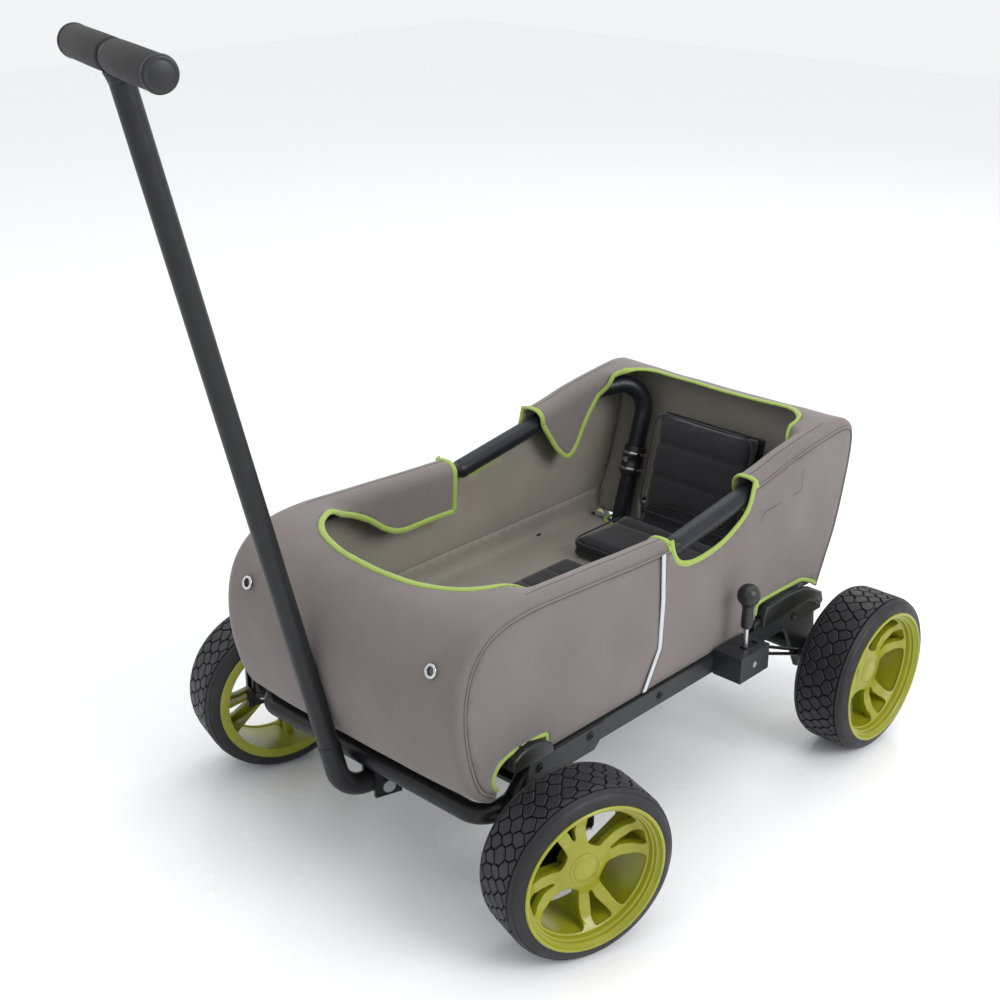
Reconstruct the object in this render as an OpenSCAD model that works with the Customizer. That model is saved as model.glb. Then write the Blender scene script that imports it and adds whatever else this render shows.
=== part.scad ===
// Kids pull wagon: steel chassis, steered front wheels, fabric tub on a tube frame.
// Frame: +Z up, floor at z = 0, the front (pull handle) faces -Y, left side is +X.

/* [Wheels] */
// Outer radius of the tyres
wheel_r = 105; // [100:0.5:108]
// Width of each tyre
tyre_w = 78; // [72:1:84]
// Radius of the rim lips
rim_r = 88; // [84:0.5:90]
// Radius of the recess behind each rim
recess_r = 76; // [74:0.5:78]
// Inner face of each tyre, measured from the centre plane
tyre_in_x = 230; // [229:0.5:238]
// Radius of the wheel axles
axle_r = 6; // [5:0.25:7]
// Position of the rear axle along the wagon
rear_y = 281; // [270:1:320]

/* [Steering] */
// Angle of the front wheels and handle as drawn, where the steering stop sits
steer = -17; // [-17:1:0]
// Distance from the centre plane to each kingpin
kingpin_x = 232; // [230:0.5:236]
// Position of the kingpins and steering column along the wagon
kingpin_y = -319; // [-322:1:-316]
// Distance of the wheel centres behind the kingpins
trail = 30; // [26:1:32]
// Radius of the kingpins
kingpin_r = 5; // [4:0.25:6]
// Length of the three steering arms
arm_l = 66; // [55:1:72]
// Running clearance of pins and axles, on the radius
run_fit = 0.08; // [0.04:0.01:0.1]

/* [Handle] */
// Outer radius of the bent lower handle tube
bend_tube_r = 13.2; // [12:0.2:13.4]
// Outer radius of the long handle tube
handle_tube_r = 12.4; // [11:0.2:13]
// Length from the lower corner to the crossbar
handle_l = 860; // [700:5:950]
// Forward lean of the handle as drawn
handle_lean = 13; // [13:0.5:20]
// Distance from the steering column to the lower corner
corner_s = 60; // [60:1:70]
// Half length of the crossbar
grip_half = 124; // [90:1:150]
// Radius of the foam grips
grip_r = 16.8; // [14:0.2:18]

/* [Chassis] */
// Outer face of the side rails, from the centre plane
rail_x = 197; // [194:0.5:198]
// Width of the side rails
rail_w = 24; // [20:1:28]
// Height of the side rails
rail_h = 24; // [20:1:26]
// Underside of the side rails
rail_z = 164; // [163:0.5:170]
// Radius of the front rail tube
front_tube_r = 12; // [11:0.5:13]

/* [Tub] */
// Outer face of the side walls, from the centre plane
wall_x = 192; // [188:0.5:193]
// Thickness of the fabric walls
cloth = 3; // [2:0.25:4]
// Thickness of the floor board
floor_t = 8; // [5:0.5:12]
// Radius of the front hoop tubes
front_hoop_r = 10.5; // [9:0.5:11.5]
// Radius of the rear hoop tubes
rear_hoop_r = 12.5; // [12:0.25:13]
// Distance of the hoop tubes from the centre plane
hoop_x = 175; // [173:0.5:176]

/* [Seat] */
// Width of the seat insert
seat_w = 214; // [170:2:216]
// Thickness of the seat cushion
seat_t = 34; // [20:1:40]
// Length of the backrest
back_l = 140; // [110:2:176]
// Width of the backrest
back_w = 176; // [140:2:196]
// Thickness of the backrest cushion
back_t = 26; // [16:1:30]

/* [Brake] */
// Position of the brake pin along the wagon
brake_y = 78; // [70:1:84]
// Height of the brake pin
brake_z = 178; // [176:1:180]
// Radius of the brake knob
knob_r = 14.5; // [10:0.5:18]

/* [Hidden] */
$fn = 64;
gap = 0.3;
seam = 0.02;
lap = 0.2;
drop_gap = 0.5;
floor_z = rail_z + rail_h + drop_gap;
floor_top = floor_z + floor_t;
rail_top = rail_z + rail_h;
rail_front_y = -250;
rail_rear_y = 292;
head_z0 = 124;
head_z1 = 156;
arm_z = head_z0 - gap - 6;
arm_t = 6;
front_tube_z = 140;
front_tube_y = kingpin_y - 33;
run_z = 99;
pivot_s = 10;
seat_y0 = 118;
seat_y1 = 262;
mat_t = 7;
hinge_y = 268;
hinge_z = floor_top + seat_t + 10;
back_lean = 14;
lug_gap = 2;
lug_t = 5;

frame_black = [0.13, 0.14, 0.16];
frame_grey = [0.23, 0.25, 0.28];
steel = [0.75, 0.76, 0.78];
lime = [0.58, 0.60, 0.16];
piping_lime = [0.62, 0.72, 0.28];
rubber = [0.12, 0.12, 0.13];
taupe = [0.46, 0.43, 0.41];
padding = [0.14, 0.14, 0.15];
plastic = [0.09, 0.09, 0.10];

// ---------- helpers ----------
function unit(v) = v / norm(v);
function any_normal(v) = unit(cross(v, abs(v[2]) < 0.9 * norm(v) ? [0, 0, 1] : [1, 0, 0]));
function mix(a, b, t) = a + (b - a) * t;
function flip_x(p) = [-p[0], p[1], p[2]];
function turned(p, a) = [p[0] * cos(a) - p[1] * sin(a), p[0] * sin(a) + p[1] * cos(a)];

// Smooth open curve through the given points (Catmull-Rom), n steps a span
function curve(pts, n = 6) = let (last = len(pts) - 1) concat(
    [for (i = [0 : last - 1], k = [0 : n - 1])
        let (t = k / n, p0 = pts[max(i - 1, 0)], p1 = pts[i], p2 = pts[i + 1],
             p3 = pts[min(i + 2, last)])
        0.5 * (2 * p1 + (p2 - p0) * t + (2 * p0 - 5 * p1 + 4 * p2 - p3) * t * t
               + (3 * p1 - p0 - 3 * p2 + p3) * t * t * t)],
    [pts[last]]);

// Points of a curve moved sideways by d (to the left of its direction)
function offset_curve(c, d) = [for (i = [0 : len(c) - 1])
    let (v = unit(c[min(i + 1, len(c) - 1)] - c[max(i - 1, 0)])) c[i] + d * [-v[1], v[0]]];

// Closed band of thickness t along a curve
function band(c, t) = concat(c, [for (i = [len(c) - 1 : -1 : 0]) offset_curve(c, t)[i]]);

module along(a, b) {
    z = unit(b - a);
    x = any_normal(z);
    y = cross(z, x);
    multmatrix([[x[0], y[0], z[0], a[0]], [x[1], y[1], z[1], a[1]],
                [x[2], y[2], z[2], a[2]], [0, 0, 0, 1]]) children();
}

module rod(a, b, r) along(a, b) cylinder(h = norm(b - a), r = r);

module elbow(a, p, b, bend_r, r) {
    u = unit(a - p);
    v = unit(b - p);
    turn = 180 - acos(u * v);
    c = p + unit(u + v) * bend_r / cos(turn / 2);
    x = unit(p + u * bend_r * tan(turn / 2) - c);
    z = cross(x, -u);
    multmatrix([[x[0], -u[0], z[0], c[0]], [x[1], -u[1], z[1], c[1]],
                [x[2], -u[2], z[2], c[2]], [0, 0, 0, 1]])
        rotate_extrude(angle = turn) translate([bend_r, 0]) circle(r = r - seam);
}

function setback(a, p, b, bend_r) = bend_r * tan((180 - acos(unit(a - p) * unit(b - p))) / 2);

// Round tube through the points of a path, with a bend of radius bends[i] at each inner point
module bent_tube(path, bends, r) {
    last = len(path) - 1;
    for (i = [0 : last - 1]) {
        s = i == 0 ? 0 : setback(path[i - 1], path[i], path[i + 1], bends[i]) - lap;
        e = i == last - 1 ? 0 : setback(path[i], path[i + 1], path[i + 2], bends[i + 1]) - lap;
        d = unit(path[i + 1] - path[i]);
        rod(path[i] + d * s, path[i + 1] - d * e, r);
    }
    for (i = [1 : 1 : last - 1]) elbow(path[i - 1], path[i], path[i + 1], bends[i], r);
}

module slab(x0, x1, y0, y1, z0, z1) translate([x0, y0, z0]) cube([x1 - x0, y1 - y0, z1 - z0]);

// Side view outline (y, z) pulled out along X from x0 to x1
module side_cut(x0, x1) translate([x0, 0, 0]) rotate([90, 0, 90]) linear_extrude(x1 - x0) children();

module both() {
    children();
    mirror([1, 0, 0]) children();
}

module steered(side, angle = steer) {
    translate([side * kingpin_x, kingpin_y, 0]) rotate([0, 0, angle]) children();
}

module on_column() translate([0, kingpin_y, 0]) rotate([0, 0, steer]) children();

// Wheel places: the axle runs along local Z, outward, from the tyre's inner face
module at_wheel(front, side) {
    if (front) steered(side)
        translate([side * (tyre_in_x - kingpin_x), trail, wheel_r]) rotate([0, side * 90, 0]) children();
    else translate([side * tyre_in_x, rear_y, wheel_r]) rotate([0, side * 90, 0]) children();
}

// ---------- chassis ----------
tube_wall = 1.5;
rail_wall = 2;
module rail_body() difference() {
    slab(rail_x - rail_w, rail_x, rail_front_y, rail_rear_y, rail_z, rail_top);
    slab(rail_x - rail_w + rail_wall, rail_x - rail_wall, rail_front_y + 10, rail_rear_y + 1,
         rail_z + rail_wall, rail_top - rail_wall);
}
module rail_left() color(frame_grey) rail_body();
module rail_right() color(frame_grey) mirror([1, 0, 0]) rail_body();

front_x = rail_x - front_tube_r - 0.2;
front_corner = [front_x, front_tube_y, front_tube_z];
front_side = [[front_x, rail_front_y, rail_z + rail_h / 2],
              [front_x, rail_front_y - 22, rail_z + rail_h / 2],
              [front_x, rail_front_y - 54, front_tube_z]];

module front_rail() color(frame_black) difference() {
    union() {
        bent_tube([front_side[0], front_side[1], front_side[2], front_corner,
                   flip_x(front_corner), flip_x(front_side[2]), flip_x(front_side[1]),
                   flip_x(front_side[0])],
                  [0, 22, 22, 26, 26, 22, 22, 0], front_tube_r);
        both() slab(front_x, kingpin_x, kingpin_y - 11, kingpin_y + 11, 129, 151);
        both() translate([kingpin_x, kingpin_y, head_z0]) cylinder(h = head_z1 - head_z0, r = 13);
        slab(-14, 14, front_tube_y, kingpin_y, 129, 151);
        translate([0, kingpin_y, head_z0]) cylinder(h = head_z1 - head_z0, r = 17);
    }
    for (x = [-kingpin_x, kingpin_x]) translate([x, kingpin_y, head_z0 - 1])
        cylinder(h = head_z1 - head_z0 + 2, r = kingpin_r);
    translate([0, kingpin_y, head_z0 - 1]) cylinder(h = head_z1 - head_z0 + 2, r = 6 + run_fit);
}

module gusset_plates() color(frame_grey) both() side_cut(rail_x, rail_x + 2)
    polygon([[-300, 157], [-292, rail_top], [-166, rail_top], [-166, 172], [-182, 157]]);

module cross_members() color(frame_black) {
    for (y = [-150, 40]) translate([0, y, rail_z + 11]) rotate([0, 90, 0]) difference() {
        cylinder(h = 2 * (rail_x - rail_w), r = 9, center = true);
        cylinder(h = 2 * rail_x, r = 9 - tube_wall, center = true);
    }
    difference() {
        slab(-(rail_x - rail_w), rail_x - rail_w, 256, 284, rail_z + 2, rail_top);
        slab(-rail_x, rail_x, 256 + rail_wall, 284 - rail_wall, rail_z + 2 + rail_wall, rail_top - rail_wall);
    }
}

module rear_brackets() color(frame_grey) both() difference() {
    side_cut(rail_x - 16, rail_x - 10)
        polygon([[rear_y - 60, rail_z], [rear_y - 20, wheel_r - 22], [rear_y + 20, wheel_r - 22],
                 [rear_y + 11, rail_z]]);
    translate([0, rear_y, wheel_r]) rotate([0, 90, 0]) cylinder(h = rail_x, r = beam_r + 0.05);
}

beam_r = 12.5;
module rear_axle_beam() color(frame_black) translate([0, rear_y, wheel_r]) rotate([0, 90, 0])
    difference() {
        cylinder(h = 2 * (tyre_in_x + 20), r = beam_r, center = true);
        cylinder(h = 2 * (tyre_in_x + 21), r = beam_r - 3, center = true);
    }

axle_end = 56;
module rear_axle() color(steel) translate([0, rear_y, wheel_r]) rotate([0, 90, 0]) union() {
    cylinder(h = 2 * (tyre_in_x + axle_end), r = axle_r, center = true);
    for (s = [-1, 1]) translate([0, 0, s * tyre_in_x]) cylinder(h = 20, r = beam_r - 3, center = true);
}

// ---------- steering ----------
module kingpins() color(steel) for (s = [-1, 1]) translate([s * kingpin_x, kingpin_y, 0]) {
    translate([0, 0, arm_z - 1.5]) cylinder(h = head_z1 + 10 - arm_z, r = kingpin_r);
    translate([0, 0, arm_z - 6.5]) cylinder(h = 5, r = 8, $fn = 6);
    translate([0, 0, head_z1 + gap + arm_t + 0.5]) cylinder(h = 5, r = 8, $fn = 6);
}

// One knuckle, drawn about its kingpin with the wheel on the +X side
web_x = 15;
module knuckle_shape() difference() {
    union() {
        translate([0, 0, arm_z]) cylinder(h = arm_t, r = 14);
        slab(0, web_x + 6, -14, 14, arm_z, arm_z + arm_t);
        translate([0, 0, head_z1 + gap]) cylinder(h = arm_t, r = 14);
        slab(0, web_x + 6, -14, 14, head_z1 + gap, head_z1 + gap + arm_t);
        slab(web_x, web_x + 6, -14, trail + 14, wheel_r - 13, head_z1 + gap + arm_t);
        slab(-8, 8, 0, arm_l, arm_z, arm_z + arm_t);
        translate([0, arm_l, arm_z]) cylinder(h = arm_t, r = 8);
        translate([web_x + 6, trail, wheel_r]) rotate([0, 90, 0]) cylinder(h = 3, r = 11);
        translate([web_x + 6, trail, wheel_r]) rotate([0, 90, 0])
            cylinder(h = tyre_in_x - kingpin_x + axle_end - web_x - 6, r = axle_r);
    }
    translate([0, 0, arm_z - 1]) cylinder(h = 70, r = kingpin_r + run_fit);
    translate([0, arm_l, arm_z - 1]) cylinder(h = arm_t + 2, r = rod_pin_r + run_fit);
}
module knuckle_left() color(frame_black) steered(1) knuckle_shape();
module knuckle_right() color(frame_black) steered(-1) mirror([1, 0, 0]) knuckle_shape();

rod_z = arm_z + arm_t + gap;
rod_pin_r = 4;
arm_tip = turned([0, arm_l], steer);
module tie_rod() color(frame_black) translate([arm_tip[0], kingpin_y + arm_tip[1], rod_z])
    difference() {
        union() {
            slab(-kingpin_x, kingpin_x, -7, 7, 0, 5);
            for (x = [-kingpin_x, 0, kingpin_x]) translate([x, 0, 0]) cylinder(h = 5, r = 8);
        }
        for (x = [-kingpin_x, 0, kingpin_x]) translate([x, 0, -1]) cylinder(h = 7, r = rod_pin_r);
    }

module tie_rod_pins() color(steel) for (x = [-kingpin_x, 0, kingpin_x])
    translate([arm_tip[0] + x, kingpin_y + arm_tip[1], 0]) {
        translate([0, 0, arm_z - 4]) cylinder(h = rod_z + 5 - arm_z + 4, r = rod_pin_r - seam);
        translate([0, 0, arm_z - 4.3]) cylinder(h = 4, r = 6.5);
        translate([0, 0, rod_z + 5]) cylinder(h = 3, r = 6.5);
    }

cheek_in = bend_tube_r + 0.6;
cheek_t = 5;
pivot_r = 5;
module steering_yoke() color(frame_black) on_column() difference() {
    union() {
        slab(-cheek_in - cheek_t, cheek_in + cheek_t, -26, 16, arm_z, arm_z + arm_t);
        for (s = [-1, 1]) slab(min(s * cheek_in, s * (cheek_in + cheek_t)),
                               max(s * cheek_in, s * (cheek_in + cheek_t)),
                               -26, 8, run_z - 14, arm_z);
        slab(-8, 8, 0, arm_l, arm_z, arm_z + arm_t);
        translate([0, arm_l, arm_z]) cylinder(h = arm_t, r = 8);
        translate([0, 0, arm_z]) cylinder(h = head_z1 + 10 - arm_z, r = 6);
    }
    translate([0, -pivot_s, run_z]) rotate([0, 90, 0])
        cylinder(h = 80, r = pivot_r + 0.03, center = true);
    translate([0, arm_l, arm_z - 1]) cylinder(h = arm_t + 2, r = rod_pin_r + run_fit);
}

module yoke_nut() color(steel) on_column() difference() {
    translate([0, 0, head_z1 + gap]) cylinder(h = 8, r = 11, $fn = 6);
    cylinder(h = 200, r = 6.02);
}

// ---------- handle ----------
lean_dir = [0, -sin(handle_lean), cos(handle_lean)];
corner_p = [0, -corner_s, run_z];
pivot_p = [0, -pivot_s, run_z];
seam_p = corner_p + lean_dir * 64;
top_p = corner_p + lean_dir * handle_l;

module handle_bend() color(frame_black) on_column() difference() {
    union() {
        bent_tube([pivot_p, corner_p, seam_p], [0, 34], bend_tube_r);
        translate(pivot_p) sphere(r = bend_tube_r);
    }
    translate(pivot_p) rotate([0, 90, 0]) cylinder(h = 60, r = pivot_r + run_fit, center = true);
}

module handle_tube() color(frame_grey) on_column() difference() {
    rod(seam_p + lean_dir * 0.05, top_p - lean_dir * 17.55, handle_tube_r);
    rod(seam_p + lean_dir * 5, top_p, handle_tube_r - tube_wall);
}

module handle_pivot_pin() color(steel) on_column() translate(pivot_p) rotate([0, 90, 0]) {
    cylinder(h = 2 * (cheek_in + cheek_t), r = pivot_r, center = true);
    for (s = [-1, 1]) translate([0, 0, s * (cheek_in + cheek_t + 2.03)])
        cylinder(h = 4, r = 8, center = true);
}

module at_crossbar() on_column() translate(top_p) rotate([0, 90, 0]) children();
collar_half = 15;
crossbar_r = 9;
module crossbar() color(frame_black) at_crossbar() difference() {
    cylinder(h = 2 * grip_half, r = crossbar_r - 0.02, center = true);
    cylinder(h = 2 * grip_half + 2, r = crossbar_r - tube_wall, center = true);
}
module grip_sleeves() color(plastic) at_crossbar() for (s = [0, 1]) mirror([0, 0, s])
    translate([0, 0, collar_half]) difference() {
        cylinder(h = grip_half - collar_half, r = grip_r);
        translate([0, 0, -1]) cylinder(h = grip_half, r = crossbar_r);
    }
module grip_caps() color(plastic) at_crossbar() for (s = [0, 1]) mirror([0, 0, s])
    translate([0, 0, grip_half]) cylinder(h = 5, r = grip_r + 0.4);
module grip_collar() color(plastic) at_crossbar() difference() {
    cylinder(h = 2 * collar_half, r = grip_r + 0.7, center = true);
    cylinder(h = 2 * collar_half + 2, r = crossbar_r, center = true);
}

// ---------- wheels ----------
tread_round = 16;
lip_t = 4;
barrel_r = rim_r - 8;
module tyre() color(rubber) rotate_extrude() polygon(concat(
    [[barrel_r, lip_t], [rim_r, lip_t], [rim_r, 0.6]],
    [for (a = [0 : 15 : 90]) [wheel_r - tread_round + tread_round * sin(a),
                              tread_round * (1 - cos(a)) + 0.6]],
    [for (a = [90 : -15 : 0]) [wheel_r - tread_round + tread_round * sin(a),
                               tyre_w - 0.6 - tread_round * (1 - cos(a))]],
    [[rim_r, tyre_w - 0.6], [rim_r, tyre_w - lip_t], [barrel_r, tyre_w - lip_t]]));

hub_r = 19;
hub_in = 28;
web_in = 42;
cap_r = 17;
module window(a0, a1, r0, r1) {
    steps = 6;
    linear_extrude(tyre_w) polygon(concat(
        [for (k = [0 : steps]) let (a = mix(a0, a1, k / steps)) r1 * [cos(a), sin(a)]],
        [for (k = [steps : -1 : 0]) let (a = mix(a0 + 6, a1 - 6, k / steps)) r0 * [cos(a), sin(a)]]));
}
module rim() color(lime) difference() {
    union() {
        rotate_extrude() polygon([[recess_r, 0], [rim_r, 0], [rim_r, lip_t - 0.1],
            [barrel_r - 0.1, lip_t - 0.1], [barrel_r - 0.1, tyre_w - lip_t + 0.1],
            [rim_r, tyre_w - lip_t + 0.1], [rim_r, tyre_w], [rim_r - 5, tyre_w],
            [recess_r, tyre_w - 14]]);
        rotate_extrude() polygon([[axle_r + run_fit, hub_in], [hub_r, hub_in], [hub_r, web_in],
            [recess_r + 2, web_in + 2], [recess_r + 2, tyre_w - 18],
            [hub_r + 12, web_in + 15], [hub_r, web_in + 15], [cap_r, web_in + 15],
            [cap_r, web_in + 9], [axle_r + run_fit, web_in + 9]]);
    }
    for (k = [0 : 3]) rotate([0, 0, 90 * k]) {
        window(18, 72, 34, recess_r - 5);
    }
}
module hub_cap() color(lime) difference() {
    translate([0, 0, web_in + 9]) union() {
        cylinder(h = 7, r = cap_r - 0.1);
        translate([0, 0, 7]) cylinder(h = 1.5, r = cap_r - 2);
    }
    cylinder(h = axle_end + 0.5, r = axle_r + 1);
}
module tyre_front_left() at_wheel(true, 1) tyre();
module tyre_front_right() at_wheel(true, -1) tyre();
module tyre_rear_left() at_wheel(false, 1) tyre();
module tyre_rear_right() at_wheel(false, -1) tyre();
module rim_front_left() at_wheel(true, 1) rim();
module rim_front_right() at_wheel(true, -1) rim();
module rim_rear_left() at_wheel(false, 1) rim();
module rim_rear_right() at_wheel(false, -1) rim();
module hub_cap_front_left() at_wheel(true, 1) hub_cap();
module hub_cap_front_right() at_wheel(true, -1) hub_cap();
module hub_cap_rear_left() at_wheel(false, 1) hub_cap();
module hub_cap_rear_right() at_wheel(false, -1) hub_cap();

// ---------- upper frame ----------
kink = [hoop_x, -18, 351];
front_foot = [hoop_x, -290, floor_top + 14];
front_top = [hoop_x, -362, 366];
rear_shoulder = [hoop_x, 250, 393];
rear_top = [132, 328, 404];
leg_foot = [132, 264, floor_top - 12];
collar_z = 282;
leg_dir = unit(leg_foot - rear_top);
function leg_at(z) = rear_top + leg_dir * ((z - rear_top[2]) / leg_dir[2]);

plug_gap = 3;
module front_hoops() color(frame_grey) both()
    bent_tube([front_foot, front_top, kink + plug_gap * unit(front_top - kink)], [0, 48], front_hoop_r);
module rear_hoops() color(frame_grey) both() difference() {
    bent_tube([kink, rear_shoulder, rear_top, leg_at(collar_z - 6)], [0, 40, 36], rear_hoop_r);
    at_button() translate([0, 0, button_in - button_travel - 1]) cylinder(h = 40, r = button_r + run_fit);
}
module rear_legs() color(frame_grey) both() difference() {
    rod(leg_at(collar_z - 6.2), leg_foot, rear_hoop_r);
    rod(leg_at(collar_z), leg_foot - 10 * leg_dir, rear_hoop_r - tube_wall);
    slab(0, rail_x, 200, 300, 100, floor_top);
}
module leg_collars() color(plastic) both() difference() {
    rod(leg_at(collar_z + 22), leg_at(collar_z - 16), rear_hoop_r + 3.5);
    rod(leg_at(collar_z + 24), leg_at(collar_z - 18), rear_hoop_r + 0.05);
    at_button() cylinder(h = 40, r = button_r + run_fit);
}
button_r = 4;
button_travel = 3;
button_in = 7;
button_out = rear_hoop_r + 7;
module at_button() translate(leg_at(collar_z + 10)) rotate([90, 0, 0]) children();
module snap_button_shape() at_button() translate([0, 0, button_in])
    cylinder(h = button_out - button_in, r = button_r);
module snap_button_left() color(steel) snap_button_shape();
module snap_button_right() color(steel) mirror([1, 0, 0]) snap_button_shape();

module leg_sockets() color(plastic) both() {
    difference() {
        slab(floor_x + gap, rail_x + 4, -318, -264, floor_top + 0.2, floor_top + 30);
        rod(front_foot, front_top, front_hoop_r + 0.05);
    }
    slab(floor_x + gap, rail_x + 4, 92, 152, floor_top + 0.2, floor_top + 34);
}

// ---------- tub ----------
floor_x = wall_x - cloth - gap;
module floor_board() color(plastic) slab(-floor_x, floor_x, -318, 262, floor_z, floor_top);
module floor_mat() color(padding)
    slab(-seat_w / 2, seat_w / 2, -250, seat_y0 - 1, floor_top + 0.2, floor_top + mat_t);
module seat_cushion() color(padding)
    slab(-seat_w / 2, seat_w / 2, seat_y0, seat_y1 - 14, floor_top + 0.2, floor_top + seat_t);

module on_back() translate([0, hinge_y, hinge_z]) rotate([-back_lean, 0, 0]) children();
module backrest_board() color(plastic) on_back() difference() {
    union() {
        slab(-back_w / 2 + 6, back_w / 2 - 6, 2, 7, 0, back_l - 6);
        rotate([0, 90, 0]) cylinder(h = back_w - 12, r = 6, center = true);
    }
    rotate([0, 90, 0]) cylinder(h = back_w + 40, r = 3 + run_fit, center = true);
}
module backrest_cushion() color(padding) on_back()
    slab(-back_w / 2, back_w / 2, 1.6 - back_t, 1.6, 9, back_l);
module backrest_hinge_pin() color(steel) translate([0, hinge_y, hinge_z]) union() {
    rotate([0, 90, 0]) cylinder(h = back_w + 2 * (lug_gap + lug_t), r = 3, center = true);
    both() slab(back_w / 2 + lug_gap, back_w / 2 + lug_gap + lug_t, -6, 6, floor_top - hinge_z, 6);
}

// Outlines in side view (y, z)
front_edge = curve([[-345, 156], [-372, 178], [-389, 222], [-397, 272], [-393, 318],
                    [-376, 352], [-344, 374], [-290, 382]], 5);
rear_edge = curve([[292, 194], [308, 230], [326, 272], [340, 326], [349, 378],
                   [345, 410], [318, 424], [262, 420]], 5);
front_strip = curve([[-290, 382], [-200, 378], [-110, 373], [-44, 370]], 3);
rear_strip = curve([[262, 420], [200, 412], [150, 402], [122, 398]], 3);
cutout = curve([[-44, 370], [-36, 348], [-22, 333], [10, 329], [55, 333], [92, 348], [122, 364],
                [142, 374], [140, 390], [122, 398]], 4);
hem_z = floor_z + 5;

module side_outline() polygon(concat(
    front_edge, front_strip, cutout,
    [for (i = [len(rear_strip) - 1 : -1 : 0]) rear_strip[i]],
    [for (i = [len(rear_edge) - 1 : -1 : 0]) rear_edge[i]],
    curve([[282, 200], [240, 215], [190, 236], [158, 238]], 4),
    [[88, 238], [84, hem_z], [-258, hem_z], [-260, 232], [-308, 232]],
    curve([[-322, 228], [-334, 200], [-340, 170]], 4)));

module side_panel_shape() side_cut(wall_x - cloth, wall_x) side_outline();
module side_panel_left() color(taupe) side_panel_shape();
module side_panel_right() color(taupe) mirror([1, 0, 0]) side_panel_shape();

inner_x = wall_x - cloth - 0.05;
deck_x = 152;
flap_in = hoop_x - rear_hoop_r - 4.5;
module panel_band(edge) translate([-inner_x, 0, 0]) side_cut(0, 2 * inner_x) polygon(band(edge, -cloth));
module front_opening() translate([0, 0, 300]) linear_extrude(150)
    polygon(concat([[deck_x, 10]], curve([[deck_x, -200], [148, -262], [112, -312], [60, -330], [0, -335],
        [-60, -330], [-112, -312], [-148, -262], [-deck_x, -200]], 4), [[-deck_x, 10]]));
module rear_opening() translate([0, 0, 300]) linear_extrude(150)
    polygon(concat([[deck_x, 60]], curve([[deck_x, 240], [146, 290], [110, 322], [50, 332], [0, 333],
        [-50, 332], [-110, 322], [-146, 290], [-deck_x, 240]], 4), [[-deck_x, 60]]));
module flap(x0, z_top, pts) both() side_cut(x0, x0 + cloth) polygon(concat(pts, z_top));

module front_panel() color(taupe) difference() {
    union() {
        panel_band(concat(front_edge, [for (i = [1 : len(front_strip) - 1]) front_strip[i]]));
        flap(flap_in, [[-226, 377], [-44, 368]],
             [[-44, 300], [-124, 308], [-150, 326], [-190, 350], [-226, 362]]);
    }
    front_opening();
    at_grommet() translate([0, 0, -20]) cylinder(h = 40, r = grommet_r + 1 + 0.05);
}
module rear_panel() color(taupe) difference() {
    union() {
        translate([-inner_x, 0, 0]) side_cut(0, 2 * inner_x)
            polygon(band(concat(rear_edge, [for (i = [1 : len(rear_strip) - 1]) rear_strip[i]]), cloth));
        flap(flap_in, [[244, 417], [200, 410], [150, 400], [124, 396]],
             [[124, 378], [150, 344], [164, 322], [184, 320], [226, 336], [244, 360]]);
    }
    rear_opening();
}

module piping() color(piping_lime) both() side_cut(wall_x, wall_x + 3)
    polygon(band(cutout, -4));

grommet_p = [150, -393.4, 326];
grommet_tilt = 22;
grommet_r = 4.5;
module at_grommet() both() translate(grommet_p) rotate([90 - grommet_tilt, 0, 0]) children();
module grommets() color(steel) at_grommet() difference() {
    union() {
        cylinder(h = 2, r = 8);
        translate([0, 0, -7]) cylinder(h = 7, r = grommet_r + 1);
    }
    translate([0, 0, -8]) cylinder(h = 11, r = grommet_r);
}

module reflective_strips() color([0.85, 0.86, 0.88]) both() side_cut(wall_x, wall_x + 1)
    polygon([[-64, 366], [-58, 366], [-58, 300], [-86, 200], [-93, 200], [-64, 300]]);

// ---------- brake ----------
housing_x0 = rail_x;
housing_x1 = 238;
module brake_housing() color(frame_grey) difference() {
    slab(housing_x0, housing_x1, brake_y - 30, brake_y + 30, brake_z - 16, brake_z + 18);
    slab(housing_x0 + 4, housing_x1 - 4, brake_y - 26, brake_y + 60, brake_z - 30, brake_z + 14);
    slab(217, 227, brake_y - 6, brake_y + 22, brake_z, brake_z + 40);
    translate([0, brake_y, brake_z]) rotate([0, 90, 0]) cylinder(h = 300, r = 4.02);
}
module brake_pin() color(steel) translate([housing_x0 + 0.2, brake_y, brake_z]) rotate([0, 90, 0])
    cylinder(h = housing_x1 - housing_x0 - 0.2, r = 4);
lever_x = 222;
module brake_lever() color(frame_black) difference() {
    union() {
        translate([lever_x - 5, brake_y, brake_z]) rotate([0, 90, 0]) cylinder(h = 10, r = 9);
        translate([lever_x, brake_y, brake_z]) cylinder(h = 62, r = 3.2);
    }
    translate([0, brake_y, brake_z]) rotate([0, 90, 0]) cylinder(h = 300, r = 4 + run_fit);
}
module brake_knob() color(plastic) difference() {
    union() {
        translate([lever_x, brake_y, brake_z + 46]) cylinder(h = 34, r1 = 7.5, r2 = 6);
        translate([lever_x, brake_y, brake_z + 90]) sphere(r = knob_r);
    }
    translate([lever_x, brake_y, brake_z + 40]) cylinder(h = 22, r = 3.22);
}
bow_x = 209;
bow_tip = [bow_x, rear_y - 58, 128];
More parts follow.
